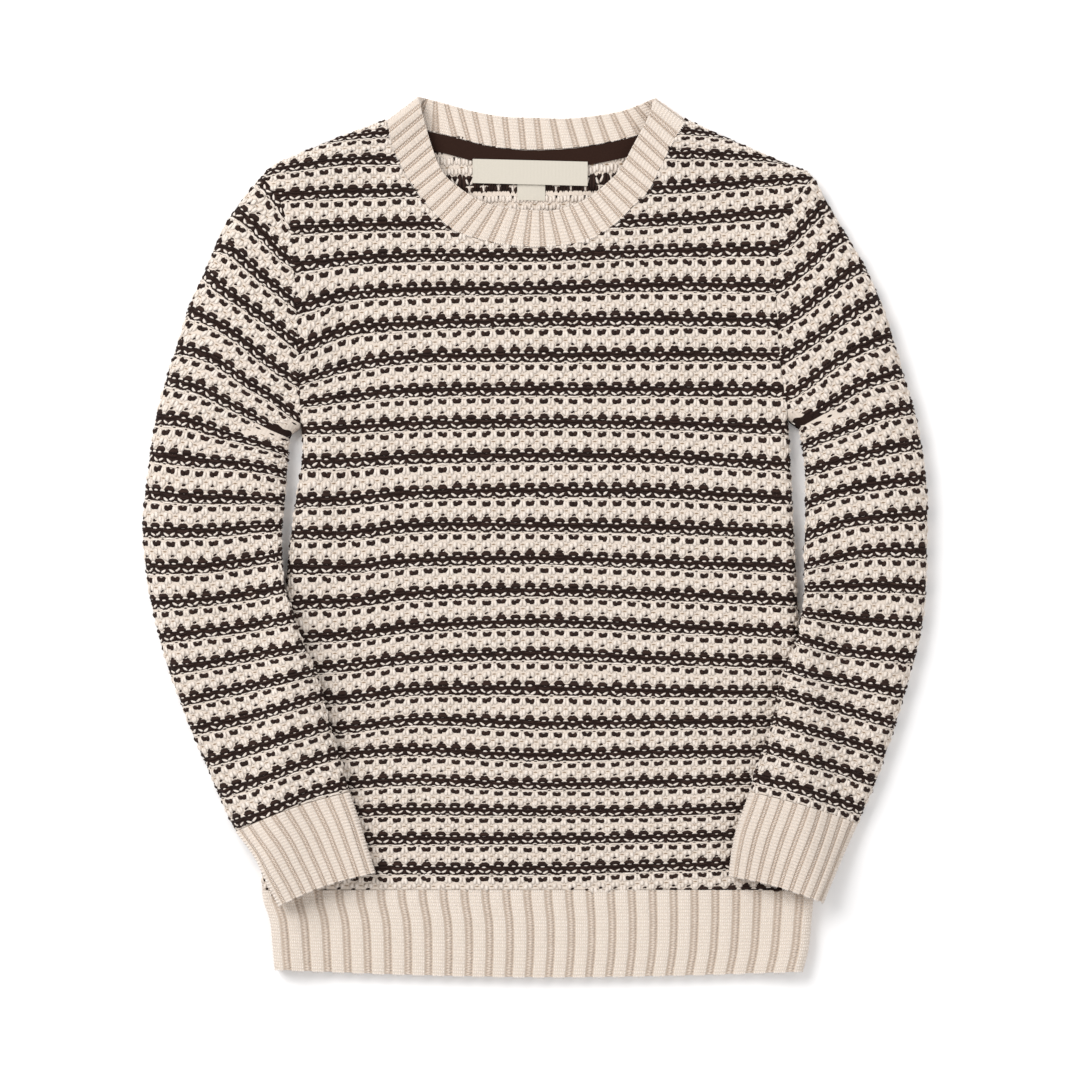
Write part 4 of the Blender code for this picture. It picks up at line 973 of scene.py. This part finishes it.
front_end, back_end = int(FRONT_NECK[-1][4]), int(BACK_NECK[-1][4])
phases = rib_phases(0, back_end)[:-1]
on_front = phases <= front_end
front, front_way, _ = upper_skin(band_plan(FRONT_NECK_LINE, phases[on_front]), (), True)
back, back_way, _ = under_skin(band_plan(BACK_NECK_LINE, phases[~on_front]), True)
for skin, normal in ((front, front_way), (back, back_way)):
    normal[0] = turned_along_seam(skin[0], normal[0])
skin = np.concatenate([front, back, front[:, :1]], axis=1)
normal = np.concatenate([front_way, back_way, front_way[:, :1]], axis=1)
normal[0, [0, int(np.sum(on_front)) - 1, -1]] = BAND_CORNERS[[0, 1, 0]]
phases = np.append(phases, back_end)
relief = rib_relief(phases)
outer_relief = np.where(np.append(on_front, True), relief, 0.0)
inner_relief = np.where(np.append(on_front, True), 0.0, relief)
band_normal = normal
band_skin = skin + normal * outer_relief[None, :, None]
band_inside = skin - normal * (WALL + inner_relief)[None, :, None]
band_chart = rib_chart(skin, phases)
neckband = cloth("neckband_knit", band_skin, band_inside, band_chart)
neckband.data.materials.append(RIB)
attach(neckband, "root")
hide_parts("neckband")


# ============================================================ neck tape and labels
# A dark cotton twill tape is sewn over the back neck's seam, so that it doesn't scratch.
# A woven ribbon label, folded under at its ends, is sewn over the tape, and a small
# folded size tab is caught under it. Both are bare here.
TAPE_WIDTH = 10.0
TAPE_THICK = 0.8
TAPE_SPAN = (0.09, 0.91)
TAPE_COLUMNS = 61
LABEL_THICK = 0.6
LABEL_SIZE = (61.0, 12.8)
LABEL_CENTRE = (-2.6, 193.4)
TAB_THICK = 0.4
TAB_SIZE = (14.8, 9.6)
TAB_CENTRE = (-2.0, 183.4)
LABEL_BOW = 0.25
RIBBON_TURN = 0.025     # how much the ribbons fall to the viewer's right, per mm
RIBBON_GRID = (25, 7)   # points along and across a ribbon


def woven(name, low, high, thread, slant):
    """A fine woven cloth: threads slant across it and catch the light in turn."""
    material = bpy.data.materials.new(name)
    material.use_nodes = True
    tree = material.node_tree
    shader = tree.nodes["Principled BSDF"]
    place = add(tree, "ShaderNodeTexCoord").outputs["Object"]
    turned = add(tree, "ShaderNodeMapping", {"Vector": place}).outputs[0]
    tree.nodes["Mapping"].inputs["Rotation"].default_value[2] = math.radians(slant)
    wave = add(tree, "ShaderNodeTexWave", {"Vector": turned, "Scale": 0.05 / (thread * MM)},
               wave_type="BANDS").outputs[1]
    fibre = add(tree, "ShaderNodeTexNoise", {"Vector": place, "Scale": 1 / (FIBRE * MM),
                                             "Detail": 3.0}).outputs[0]
    both = add(tree, "ShaderNodeMath", {0: wave, 1: 0.6, 2: fibre},
               operation="MULTIPLY_ADD").outputs[0]
    colour = add(tree, "ShaderNodeMix", {0: fibre, 6: linear(low), 7: linear(high)},
                 data_type="RGBA").outputs[2]
    tree.links.new(colour, shader.inputs["Base Color"])
    bump = add(tree, "ShaderNodeBump", {"Height": both, "Distance": 0.0002,
                                        "Strength": 0.25}).outputs[0]
    tree.links.new(bump, shader.inputs["Normal"])
    shader.inputs["Roughness"].default_value = 0.95
    shader.inputs["Specular IOR Level"].default_value = 0.1
    return material


line = read_along(BACK_NECK_LINE[::-1, :2], np.linspace(*TAPE_SPAN, TAPE_COLUMNS))
plan = np.array([line - (0.0, SEAM_GAP), line - (0.0, TAPE_WIDTH / 2),
                 line - (0.0, TAPE_WIDTH)])
under = np.dstack([plan, np.full(plan.shape[:2], WALL + SEAM_GAP)])
neck_tape = cloth("neck_tape_twill", under + (0.0, 0.0, TAPE_THICK), under,
                  plan / CHART_SPAN / 10)
neck_tape.data.materials.append(woven("brown cotton twill tape", "#22140f", "#35231c",
                                      0.9, 45))


def ribbon(name, centre, size, floor, thick):
    """A bare woven rectangle, a little bowed and turned like a folded ribbon end."""
    across = np.linspace(-0.5, 0.5, RIBBON_GRID[0])
    bow = LABEL_BOW * (1 - (2 * across) ** 2)
    plan = np.array([[(centre[0] + x * size[0], centre[1] + y * size[1]
                       - x * size[0] * RIBBON_TURN, floor + lift)
                      for x, lift in zip(across, bow)]
                     for y in np.linspace(-0.5, 0.5, RIBBON_GRID[1])])
    return cloth(name, plan + (0.0, 0.0, thick), plan, plan[..., :2] / CHART_SPAN / 10)


RIBBON = woven("woven polyester ribbon", "#bfb8ab", "#d0c9bd", 0.3, 0)
tape_top = WALL + SEAM_GAP + TAPE_THICK
neck_label = ribbon("neck_label_ribbon", LABEL_CENTRE, LABEL_SIZE, tape_top + SEAM_GAP,
                    LABEL_THICK)
size_tab = ribbon("size_tab_ribbon", TAB_CENTRE, TAB_SIZE, WALL + SEAM_GAP, TAB_THICK)
for piece in (neck_label, size_tab):
    piece.data.materials.append(RIBBON)
for piece, node, slot in ((neck_tape, "neck_tape", "neck_tape"),
                          (neck_label, "neck_label", "woven_label"),
                          (size_tab, "size_tab", "woven_label")):
    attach(piece, "root")
    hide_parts(node)


# ============================================================ yarn of the pattern
# The yarn that stands out of the patterned cloth, in both colours. Each cell of one
# stitch column by one repeat has the same strands, laid on as the real yarn runs:
# short ones on the brown course, and a net of long cream ones between two courses.
SKIRT = 4.0             # mm of cloth carried straight on past a seam or a fold
REPEAT = 18.0           # mm from one dark course to the next, where strands are drawn
LAID_FLAT = 0.45        # a pattern strand's height as a share of its radius
STRAND_SIDE = 0.3       # the same for its sides over the cloth and its ends under it
STRAND_UNDER = 0.4      # and for its underside under the cloth
WANDER = 0.03           # how far a strand strays from its place, in cells
SHOWN_ROWS = 26         # rows of the back panel, from its top, that the neck shows
CELL_CODE = (131.0, 7919.0, 0.0)    # primes that number the cells for the random draws
STRAND_CODE = 17.0      # and the strands of one cell
ALL_INSIDE = 0.99       # below this, a strand's middle lies past the cloth's own edge
CREAM_STRANDS = [       # radius in mm, then x, y in cells from the middle of the course
    (0.58, (-.43, -.305), (-.22, -.262), (0, -.248), (.22, -.262), (.43, -.305)),
    (0.42, (-.07, -.322), (-.02, -.312), (.02, -.312), (.07, -.322)),
    (0.32, (.30, -.226), (.44, -.203), (.56, -.203), (.70, -.226)),
    (0.64, (-.45, -.055), (-.29, -.105), (-.12, -.150), (.04, -.160)),
    (0.64, (.45, -.055), (.29, -.105), (.12, -.150), (-.04, -.160)),
    (0.52, (-.20, .044), (-.06, .054), (.06, .054), (.20, .044)),
    (0.60, (.27, .058), (.42, .096), (.58, .096), (.73, .058)),
    (0.42, (-.13, .218), (-.01, .232), (.08, .254), (.17, .280)),
    (1.00, (.45, -.270), (.40, -.36), (.36, -.47), (.44, -.575)),
    (1.00, (.55, -.270), (.60, -.36), (.64, -.47), (.56, -.575)),
    (1.15, (-.03, -.490), (-.14, -.57), (-.17, -.65), (-.09, -.750)),
    (1.15, (.03, -.490), (.14, -.57), (.17, -.65), (.09, -.750)),
    (1.00, (.47, -.620), (.39, -.69), (.41, -.78), (.48, -.890)),
    (1.00, (.53, -.620), (.61, -.69), (.59, -.78), (.52, -.890))]
BROWN_STRANDS = [
    (1.20, (-.39, -.318), (-.24, -.346), (-.10, -.395), (.06, -.470)),
    (1.20, (.39, -.318), (.24, -.346), (.10, -.395), (-.06, -.470)),
    (1.05, (-.46, .118), (-.20, .140), (.20, .140), (.46, .118)),
    (0.70, (-.34, .166), (-.16, .178), (.16, .178), (.34, .166)),
    (0.70, (-.55, .030), (-.25, .006), (0, -.006), (.25, .006), (.55, .030)),
    (0.55, (-.55, -.036), (-.25, -.062), (0, -.096), (.25, -.062), (.55, -.036)),
    (0.90, (.50, -.045), (.50, -.105), (.50, -.155), (.50, -.205)),
    (0.45, (-.34, -.172), (-.12, -.205), (.12, -.205), (.34, -.172)),
    (0.34, (.35, -.262), (.46, -.245), (.54, -.245), (.65, -.262)),
    (0.62, (-.20, -.752), (-.06, -.728), (.06, -.712), (.19, -.714))]
# The inside of the back, which the neck shows: its cream floats stand as forks on the
# brown course, and as upright loops over and under it.
INNER_CREAM_STRANDS = [
    (0.70, (-.38, .22), (-.26, .12), (-.12, .02), (.02, -.05)),
    (0.70, (.38, .22), (.26, .12), (.12, .02), (-.02, -.05)),
    (0.62, (0, .00), (-.01, -.09), (.01, -.18), (0, -.29)),
    (0.95, (-.07, -.30), (-.15, -.38), (-.15, -.48), (-.06, -.58)),
    (0.95, (.07, -.30), (.15, -.38), (.15, -.48), (.06, -.58)),
    (0.95, (.43, -.30), (.35, -.39), (.36, -.49), (.45, -.60)),
    (0.95, (.57, -.30), (.65, -.39), (.64, -.49), (.55, -.60)),
    (0.95, (.07, -.56), (.15, -.63), (.15, -.72), (.06, -.82)),
    (0.95, (-.07, -.56), (-.15, -.63), (-.15, -.72), (-.06, -.82)),
    (0.95, (.43, -.60), (.35, -.68), (.36, -.76), (.45, -.86)),
    (0.95, (.57, -.60), (.65, -.68), (.64, -.76), (.55, -.86))]
INNER_BROWN_STRANDS = [
    (1.10, (.48, .28), (.37, .16), (.38, -.02), (.47, -.36)),
    (1.10, (.52, .28), (.63, .16), (.62, -.02), (.53, -.36)),
    (0.80, (-.16, .24), (-.05, .15), (.05, .15), (.16, .24)),
    (0.80, (-.22, -.06), (-.20, -.12), (-.18, -.18), (-.16, -.30)),
    (0.80, (.22, -.06), (.20, -.12), (.18, -.18), (.16, -.30))]


def strand_chart(name, strands, cell, flat):
    """The tapered strands of one cell: x and y in cells, z in mm off the cloth. Each
    strand keeps its middle and a number, so that strands can be told apart later."""
    points, faces, middles, numbers = [], [], [], []
    for number, (radius, *path) in enumerate(strands):
        line = np.array(path, float) * cell
        along = unit(np.gradient(line, axis=0))
        beside = np.column_stack([-along[:, 1], along[:, 0]])
        start = len(points)
        points.append((*line[0], -STRAND_SIDE * radius))
        for spot, side in zip(line[1:-1], beside[1:-1]):
            for width, height in ((1, STRAND_SIDE), (0, STRAND_SIDE + flat),
                                  (-1, STRAND_SIDE), (0, -STRAND_UNDER)):
                points.append((*(spot + side * radius * width), radius * height))
        points.append((*line[-1], -STRAND_SIDE * radius))
        rings = len(line) - 2
        for k in range(4):
            n = (k + 1) % 4
            faces.append((start, start + 1 + n, start + 1 + k))
            for ring in range(rings - 1):
                low = start + 1 + 4 * ring
                faces.append((low + k, low + n, low + 4 + n, low + 4 + k))
            last = start + 1 + 4 * (rings - 1)
            faces.append((last + k, last + n, len(points) - 1))
        count = len(points) - start
        middles += [tuple(line.mean(axis=0) / cell) + (0.0,)] * count
        numbers += [number] * count
    points = np.array(points) / (cell[0], cell[1], 1.0)
    mesh = bpy.data.meshes.new(name)
    mesh.from_pydata(points.tolist(), [], faces)
    bm = bmesh.new()
    bm.from_mesh(mesh)
    bmesh.ops.recalc_face_normals(bm, faces=bm.faces)
    bm.to_mesh(mesh)
    bm.free()
    mesh.attributes.new("middle", "FLOAT_VECTOR", "POINT").data.foreach_set(
        "vector", np.array(middles).ravel())
    mesh.attributes.new("number", "INT", "POINT").data.foreach_set("value", numbers)
    return bpy.data.objects.new(name, mesh)


def carried_on(grid, axis, charted):
    """A grid with one more line past both ends of an axis, SKIRT mm straight on."""
    grids = [np.moveaxis(g, axis, 0) for g in grid]
    out = []
    step = [grids[0][0] - grids[0][1], grids[0][-1] - grids[0][-2]]
    reach = [SKIRT / np.maximum(np.linalg.norm(s, axis=-1, keepdims=True), 0.05)
             for s in step]
    for k, g in enumerate(grids):
        if k in charted:
            first = g[0] + (g[0] - g[1]) * reach[0]
            last = g[-1] + (g[-1] - g[-2]) * reach[1]
        else:
            first, last = (g[0], g[-1]) if k == 1 else (g[0] * 0, g[-1] * 0)
        out.append(np.moveaxis(np.concatenate([[first], g, [last]]), 0, axis))
    return out


def bed(name, skin, normal, chart):
    """The cloth's face as a sheet with a stitch map, for strands to be laid on."""
    inside = np.ones(skin.shape[:2] + (1,))
    grid = [skin, normal, chart, inside]
    for axis in (0, 1):
        grid = carried_on(grid, axis, (0, 2))
    skin, normal, chart, inside = grid
    rows, columns = skin.shape[:2]
    index = np.arange(rows * columns).reshape(rows, columns)
    quads = np.stack([index[:-1, :-1], index[:-1, 1:], index[1:, 1:], index[1:, :-1]],
                     axis=-1).reshape(-1, 4)
    mesh = bpy.data.meshes.new(name)
    mesh.from_pydata((skin.reshape(-1, 3) * MM).tolist(), [], quads.tolist())
    layer = mesh.uv_layers.new(name="chart")
    layer.uv.foreach_set("vector", chart.reshape(-1, 2)[quads.ravel()].ravel())
    mesh.attributes.new("outward", "FLOAT_VECTOR", "POINT").data.foreach_set(
        "vector", normal.ravel())
    mesh.attributes.new("inside", "FLOAT", "POINT").data.foreach_set(
        "value", inside.ravel())
    sheet = bpy.data.objects.new(name, mesh)
    bpy.context.scene.collection.objects.link(sheet)
    return sheet


def laying_tree():
    """Geometry Nodes that repeat one cell's strands over a sheet's stitch map."""
    tree = bpy.data.node_groups.new("stitches laid on cloth", "GeometryNodeTree")
    face = tree.interface
    for name, kind, value in (
            ("Sheet", "NodeSocketGeometry", None), ("Cell", "NodeSocketObject", None),
            ("Columns", "NodeSocketInt", 40), ("Rows", "NodeSocketInt", 30),
            ("First", "NodeSocketVector", (0, 0, 0)), ("Wander", "NodeSocketFloat", WANDER),
            ("Lift", "NodeSocketFloat", MM), ("Seed", "NodeSocketInt", 1),
            ("Yarn", "NodeSocketMaterial", None)):
        socket = face.new_socket(name=name, in_out="INPUT", socket_type=kind)
        if value is not None:
            socket.default_value = value
    face.new_socket(name="Sheet", in_out="OUTPUT", socket_type="NodeSocketGeometry")
    given = tree.nodes.new("NodeGroupInput").outputs
    wide = add(tree, "ShaderNodeMath", {0: given["Columns"], 1: 1.0},
               operation="SUBTRACT").outputs[0]
    tall = add(tree, "ShaderNodeMath", {0: given["Rows"], 1: 1.0},
               operation="SUBTRACT").outputs[0]
    grid = add(tree, "GeometryNodeMeshGrid", {"Size X": wide, "Size Y": tall,
                                              "Vertices X": given["Columns"],
                                              "Vertices Y": given["Rows"]}).outputs[0]
    half = add(tree, "ShaderNodeCombineXYZ", {0: wide, 1: tall}).outputs[0]
    half = add(tree, "ShaderNodeVectorMath", {0: half, "Scale": 0.5},
               operation="SCALE").outputs[0]
    move = add(tree, "ShaderNodeVectorMath", {0: half, 1: given["First"]}).outputs[0]
    grid = add(tree, "GeometryNodeSetPosition", {"Geometry": grid, "Offset": move}).outputs[0]
    where = add(tree, "GeometryNodeInputPosition").outputs[0]
    grid = add(tree, "GeometryNodeStoreNamedAttribute",
               {"Geometry": grid, "Name": "cell", "Value": where},
               data_type="FLOAT_VECTOR", domain="POINT").outputs[0]
    strands = add(tree, "GeometryNodeObjectInfo", {"Object": given["Cell"]}).outputs[
        "Geometry"]
    laid = add(tree, "GeometryNodeInstanceOnPoints", {"Points": grid,
                                                      "Instance": strands}).outputs[0]
    laid = add(tree, "GeometryNodeRealizeInstances", {"Geometry": laid}).outputs[0]

    def kept(name, kind):
        return add(tree, "GeometryNodeInputNamedAttribute", {"Name": name},
                   data_type=kind).outputs[0]

    cell, middle, number = (kept("cell", "FLOAT_VECTOR"), kept("middle", "FLOAT_VECTOR"),
                            kept("number", "INT"))
    spot = add(tree, "ShaderNodeVectorMath", {0: cell, 1: middle}).outputs[0]
    spot = add(tree, "ShaderNodeVectorMath", {0: spot, "Scale": 1 / CHART_SPAN},
               operation="SCALE").outputs[0]
    chart = kept("chart", "FLOAT_VECTOR")

    def on_sheet(value, at, kind):
        return add(tree, "GeometryNodeSampleUVSurface",
                   {"Mesh": given["Sheet"], "Value": value, "Source UV Map": chart,
                    "Sample UV": at}, data_type=kind)

    inner = on_sheet(kept("inside", "FLOAT"), spot, "FLOAT")
    outside = add(tree, "FunctionNodeCompare", {0: inner.outputs[0], 1: ALL_INSIDE},
                  data_type="FLOAT", operation="LESS_THAN").outputs[0]
    off = add(tree, "FunctionNodeBooleanMath", {0: inner.outputs[1]},
              operation="NOT").outputs[0]
    drop = add(tree, "FunctionNodeBooleanMath", {0: outside, 1: off},
               operation="OR").outputs[0]
    laid = add(tree, "GeometryNodeDeleteGeometry", {"Geometry": laid, "Selection": drop},
               domain="POINT").outputs[0]
    # Every strand wanders a little from its place, all of it by the same amount.
    code = add(tree, "ShaderNodeVectorMath", {0: cell, 1: CELL_CODE},
               operation="DOT_PRODUCT").outputs["Value"]
    code = add(tree, "ShaderNodeMath", {0: number, 1: STRAND_CODE, 2: code},
               operation="MULTIPLY_ADD").outputs[0]
    back = add(tree, "ShaderNodeVectorMath", {0: given["Wander"], 1: (-1.0, -1.0, 0.0)},
               operation="MULTIPLY").outputs[0]
    forth = add(tree, "ShaderNodeVectorMath", {0: given["Wander"], 1: (1.0, 1.0, 0.0)},
                operation="MULTIPLY").outputs[0]
    drift = add(tree, "FunctionNodeRandomValue", {0: back, 1: forth, "ID": code,
                                                  "Seed": given["Seed"]},
                data_type="FLOAT_VECTOR").outputs[0]
    tone = add(tree, "FunctionNodeRandomValue", {"ID": code, "Seed": given["Seed"]},
               data_type="FLOAT").outputs[1]
    laid = add(tree, "GeometryNodeStoreNamedAttribute",
               {"Geometry": laid, "Name": "tone", "Value": tone}, data_type="FLOAT",
               domain="POINT").outputs[0]
    laid = add(tree, "GeometryNodeSetPosition", {"Geometry": laid, "Offset": drift}).outputs[0]
    axes = add(tree, "ShaderNodeSeparateXYZ", {0: where})
    at = add(tree, "ShaderNodeCombineXYZ", {0: axes.outputs[0], 1: axes.outputs[1]}).outputs[0]
    at = add(tree, "ShaderNodeVectorMath", {0: at, "Scale": 1 / CHART_SPAN},
             operation="SCALE").outputs[0]
    place = on_sheet(where, at, "FLOAT_VECTOR")
    way = on_sheet(kept("outward", "FLOAT_VECTOR"), at, "FLOAT_VECTOR").outputs[0]
    lift = add(tree, "ShaderNodeMath", {0: axes.outputs[2], 1: given["Lift"]},
               operation="MULTIPLY").outputs[0]
    lift = add(tree, "ShaderNodeVectorMath", {0: way, "Scale": lift},
               operation="SCALE").outputs[0]
    there = add(tree, "ShaderNodeVectorMath", {0: place.outputs[0], 1: lift}).outputs[0]
    missed = add(tree, "FunctionNodeBooleanMath", {0: place.outputs[1]},
                 operation="NOT").outputs[0]
    laid = add(tree, "GeometryNodeStoreNamedAttribute",
               {"Geometry": laid, "Name": "missed", "Value": missed}, data_type="BOOLEAN",
               domain="POINT").outputs[0]
    laid = add(tree, "GeometryNodeSetPosition", {"Geometry": laid,
                                                 "Position": there}).outputs[0]
    laid = add(tree, "GeometryNodeDeleteGeometry",
               {"Geometry": laid, "Selection": kept("missed", "BOOLEAN")},
               domain="POINT").outputs[0]
    laid = add(tree, "GeometryNodeSetShadeSmooth", {"Geometry": laid}).outputs[0]
    laid = add(tree, "GeometryNodeRealizeInstances", {"Geometry": laid}).outputs[0]
    laid = add(tree, "GeometryNodeSetMaterial", {"Geometry": laid,
                                                 "Material": given["Yarn"]}).outputs[0]
    out = tree.nodes.new("NodeGroupOutput")
    tree.links.new(laid, out.inputs[0])
    return tree


LAYING = laying_tree()


def lay(name, sheet, cell, yarn, seed, chart, wander=WANDER):
    """Strands laid all over a sheet, as a plain mesh."""
    low = np.floor(chart.reshape(-1, 2).min(axis=0) * CHART_SPAN) - 1
    high = np.ceil(chart.reshape(-1, 2).max(axis=0) * CHART_SPAN) + 1
    sizes = {"Cell": cell, "Columns": int(high[0] - low[0]) + 1,
             "Rows": int(high[1] - low[1]) + 1, "First": (low[0], low[1], 0.0),
             "Wander": wander, "Lift": MM, "Seed": seed, "Yarn": yarn}
    layer = sheet.modifiers.new("stitches", "NODES")
    layer.node_group = LAYING
    for item in LAYING.interface.items_tree:
        if item.in_out == "INPUT" and item.name in sizes:
            layer[item.identifier] = sizes[item.name]
    sheet.update_tag()
    graph = bpy.context.evaluated_depsgraph_get()
    mesh = bpy.data.meshes.new_from_object(sheet.evaluated_get(graph))
    sheet.modifiers.remove(layer)
    for spare in ("cell", "middle", "number", "missed"):
        if spare in mesh.attributes:
            mesh.attributes.remove(mesh.attributes[spare])
    mesh.name = name
    piece = bpy.data.objects.new(name, mesh)
    bpy.context.scene.collection.objects.link(piece)
    return piece


def yarn(name, low, high, halo):
    """Soft spun wool: each strand has its own tone, and its plies show as fine lines."""
    material = bpy.data.materials.new(name)
    material.use_nodes = True
    tree = material.node_tree
    shader = tree.nodes["Principled BSDF"]
    tone = add(tree, "ShaderNodeAttribute", attribute_name="tone").outputs["Fac"]
    place = add(tree, "ShaderNodeTexCoord").outputs["Object"]
    fibre = add(tree, "ShaderNodeTexNoise", {"Vector": place, "Scale": 1 / (FIBRE * MM),
                                             "Detail": 3.0}).outputs[0]
    mix = add(tree, "ShaderNodeMath", {0: tone, 1: 0.25, 2: fibre},
              operation="MULTIPLY_ADD").outputs[0]
    mix = add(tree, "ShaderNodeMapRange", {"Value": mix, "From Min": 0.35,
                                           "From Max": 0.9}).outputs[0]
    colour = add(tree, "ShaderNodeMix", {0: mix, 6: linear(low), 7: linear(high)},
                 data_type="RGBA").outputs[2]
    tree.links.new(colour, shader.inputs["Base Color"])
    bump = add(tree, "ShaderNodeBump", {"Height": fibre, "Distance": 0.0003,
                                        "Strength": 0.7}).outputs[0]
    tree.links.new(bump, shader.inputs["Normal"])
    shader.inputs["Roughness"].default_value = 0.95
    shader.inputs["Specular IOR Level"].default_value = 0.3
    shader.inputs["Sheen Weight"].default_value = halo
    shader.inputs["Sheen Roughness"].default_value = 0.6
    return material


CREAM_YARN = yarn("undyed wool yarn", "#d6c9bc", "#ebe0d6", 0.2)
BROWN_YARN = yarn("brown wool yarn", "#1d100c", "#37231b", 0.0)
CELL = (STITCH, REPEAT)
cream_cell = strand_chart("cream_cell", CREAM_STRANDS, CELL, LAID_FLAT)
brown_cell = strand_chart("brown_cell", BROWN_STRANDS, CELL, LAID_FLAT)
stitched = {}
for seed, (base, skin, normal, chart) in enumerate((
        (body_front, front_skin, front_normal, front_chart),
        (sleeve_left, left_skin, left_normal, left_chart),
        (sleeve_right, right_skin, right_normal, right_chart))):
    sheet = bed("bed", skin, normal, chart)
    stitched[base.name] = [
        lay(base.name + "_ecru_stitches", sheet, cream_cell, CREAM_YARN, seed, chart),
        lay(base.name + "_brown_stitches", sheet, brown_cell, BROWN_YARN, seed + 9, chart)]
    bpy.data.objects.remove(sheet)
    for piece in stitched[base.name]:
        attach(piece, "root")


inner_cream = strand_chart("inner_cream_cell", INNER_CREAM_STRANDS, CELL, LAID_FLAT)
inner_brown = strand_chart("inner_brown_cell", INNER_BROWN_STRANDS, CELL, LAID_FLAT)
window = (slice(-SHOWN_ROWS, None), slice(len(SHOULDER_SHARES), -len(SHOULDER_SHARES)))
chart = back_chart[window]
sheet = bed("bed", (back_skin - WALL * back_normal)[window], -back_normal[window], chart)
stitched["back_panel"] = [
    lay("back_panel_ecru_loops", sheet, inner_cream, CREAM_YARN, 5, chart),
    lay("back_panel_brown_loops", sheet, inner_brown, BROWN_YARN, 6, chart)]
bpy.data.objects.remove(sheet)
for piece in stitched["back_panel"]:
    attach(piece, "root")


# ============================================================ yarn of the ribs
# Every rib is three columns of plain stitches, each a chain of Vs, and between two ribs
# lie two columns of purl bumps that zigzag. All are laid on the ribs' own sheets.
RIB_WIDTH = 10.6        # mm from one rib of the hem to the next, where strands are drawn
RIB_CELL = (RIB_WIDTH, RIB_ROW)
ROUND = 0.8             # a rib strand's height as a share of its radius
RIB_WANDER = 0.012
PLAIN_COLUMNS = (.30, .50, .70)
PLAIN_STRANDS = [(0.38, (column + side * .066, .62), (column + side * .052, 0),
                  (column + side * .026, -.62))
                 for column in PLAIN_COLUMNS for side in (-1, 1)]
PURL_STRANDS = [(0.40, (-.19, .50), (0, .27), (.19, .03)),
                (0.40, (.19, -.01), (0, -.23), (-.19, -.47))]
RIB_YARN = yarn("undyed rib yarn", "#e2d5c9", "#f6ede5", 0.25)
# The purl yarn is a darker, warmer copy of the rib yarn: painted shade for the sunk purl
# valleys.
PURL_YARN_IN_SHADE = yarn("undyed rib yarn in the valleys", "#dac9b9", "#f1e3d6", 0.25)
plain_cell = strand_chart("plain_cell", PLAIN_STRANDS, RIB_CELL, ROUND)
purl_cell = strand_chart("purl_cell", PURL_STRANDS, RIB_CELL, ROUND)
front_half = slice(0, int(np.sum(on_front)))
back_half = slice(int(np.sum(on_front)) - 1, None)
for seed, (base, label, skin, normal, chart) in enumerate((
        (hem_front, "", hem_skin, hem_normal, hem_chart),
        (cuff_left, "", left_cuff_skin, left_cuff_normal, left_cuff_chart),
        (cuff_right, "", right_cuff_skin, right_cuff_normal, right_cuff_chart),
        (neckband, "_front", band_skin[:, front_half], band_normal[:, front_half],
         band_chart[:, front_half]),
        (neckband, "_back", band_inside[:, back_half], -band_normal[:, back_half],
         band_chart[:, back_half]))):
    sheet = bed("bed", skin, normal, chart)
    for kind, cell, wool in (("plain", plain_cell, RIB_YARN), ("purl", purl_cell, PURL_YARN_IN_SHADE)):
        piece = lay(f"{base.name}{label}_{kind}_stitches", sheet, cell, wool,
                    seed + 20, chart, RIB_WANDER)
        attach(piece, "root")
        stitched.setdefault(base.name, []).append(piece)
    bpy.data.objects.remove(sheet)
for cell in (plain_cell, purl_cell, cream_cell, brown_cell, inner_cream, inner_brown):
    bpy.data.objects.remove(cell)


# ============================================================ table, light and camera
# A smooth white table, lit by one big soft window on the upper left and by the pale
# room around it, and seen from straight above with a long lens.
LENS = 200.0
FRAME_WIDTH = 572.4     # mm of the table that the picture is wide
FRAME_CENTRE = (2.65, -1.59)
TABLE_TOP = "#fbfafa"
ROOM_LIGHT = 0.55

bpy.ops.mesh.primitive_plane_add(size=6.0)
table = bpy.context.object
table.name = "table_top"
paper = bpy.data.materials.new("white paper")
paper.use_nodes = True
paper_shader = paper.node_tree.nodes["Principled BSDF"]
paper_shader.inputs["Base Color"].default_value = linear(TABLE_TOP)
paper_shader.inputs["Roughness"].default_value = 0.9
table.data.materials.append(paper)


def softbox(name, place, aim, width, power):
    """A square area light at a place, turned to a point on the table."""
    lamp = bpy.data.lights.new(name, "AREA")
    lamp.size = width
    lamp.energy = power
    holder = bpy.data.objects.new(name, lamp)
    holder.location = place
    way = Vector(aim) - Vector(place)
    holder.rotation_euler = way.to_track_quat("-Z", "Y").to_euler()
    bpy.context.scene.collection.objects.link(holder)


softbox("window", (-1.3, 1.2, 1.9), (0.0, 0.0, 0.0), 1.6, 60.0)
softbox("fill", (1.6, -0.6, 2.2), (0.0, 0.0, 0.0), 2.4, 22.0)
room = bpy.data.worlds.new("pale room")
room.use_nodes = True
room.node_tree.nodes["Background"].inputs["Color"].default_value = (1, 1, 1, 1)
room.node_tree.nodes["Background"].inputs["Strength"].default_value = ROOM_LIGHT
bpy.context.scene.world = room
bpy.context.scene.view_settings.view_transform = "Standard"

camera_data = bpy.data.cameras.new("camera")
camera_data.lens = LENS
camera_data.clip_end = 20.0
camera = bpy.data.objects.new("camera", camera_data)
distance = FRAME_WIDTH * LENS / camera_data.sensor_width + LAID_HEIGHT
camera.location = (FRAME_CENTRE[0] * MM, FRAME_CENTRE[1] * MM, distance * MM)
bpy.context.scene.collection.objects.link(camera)
bpy.context.scene.camera = camera
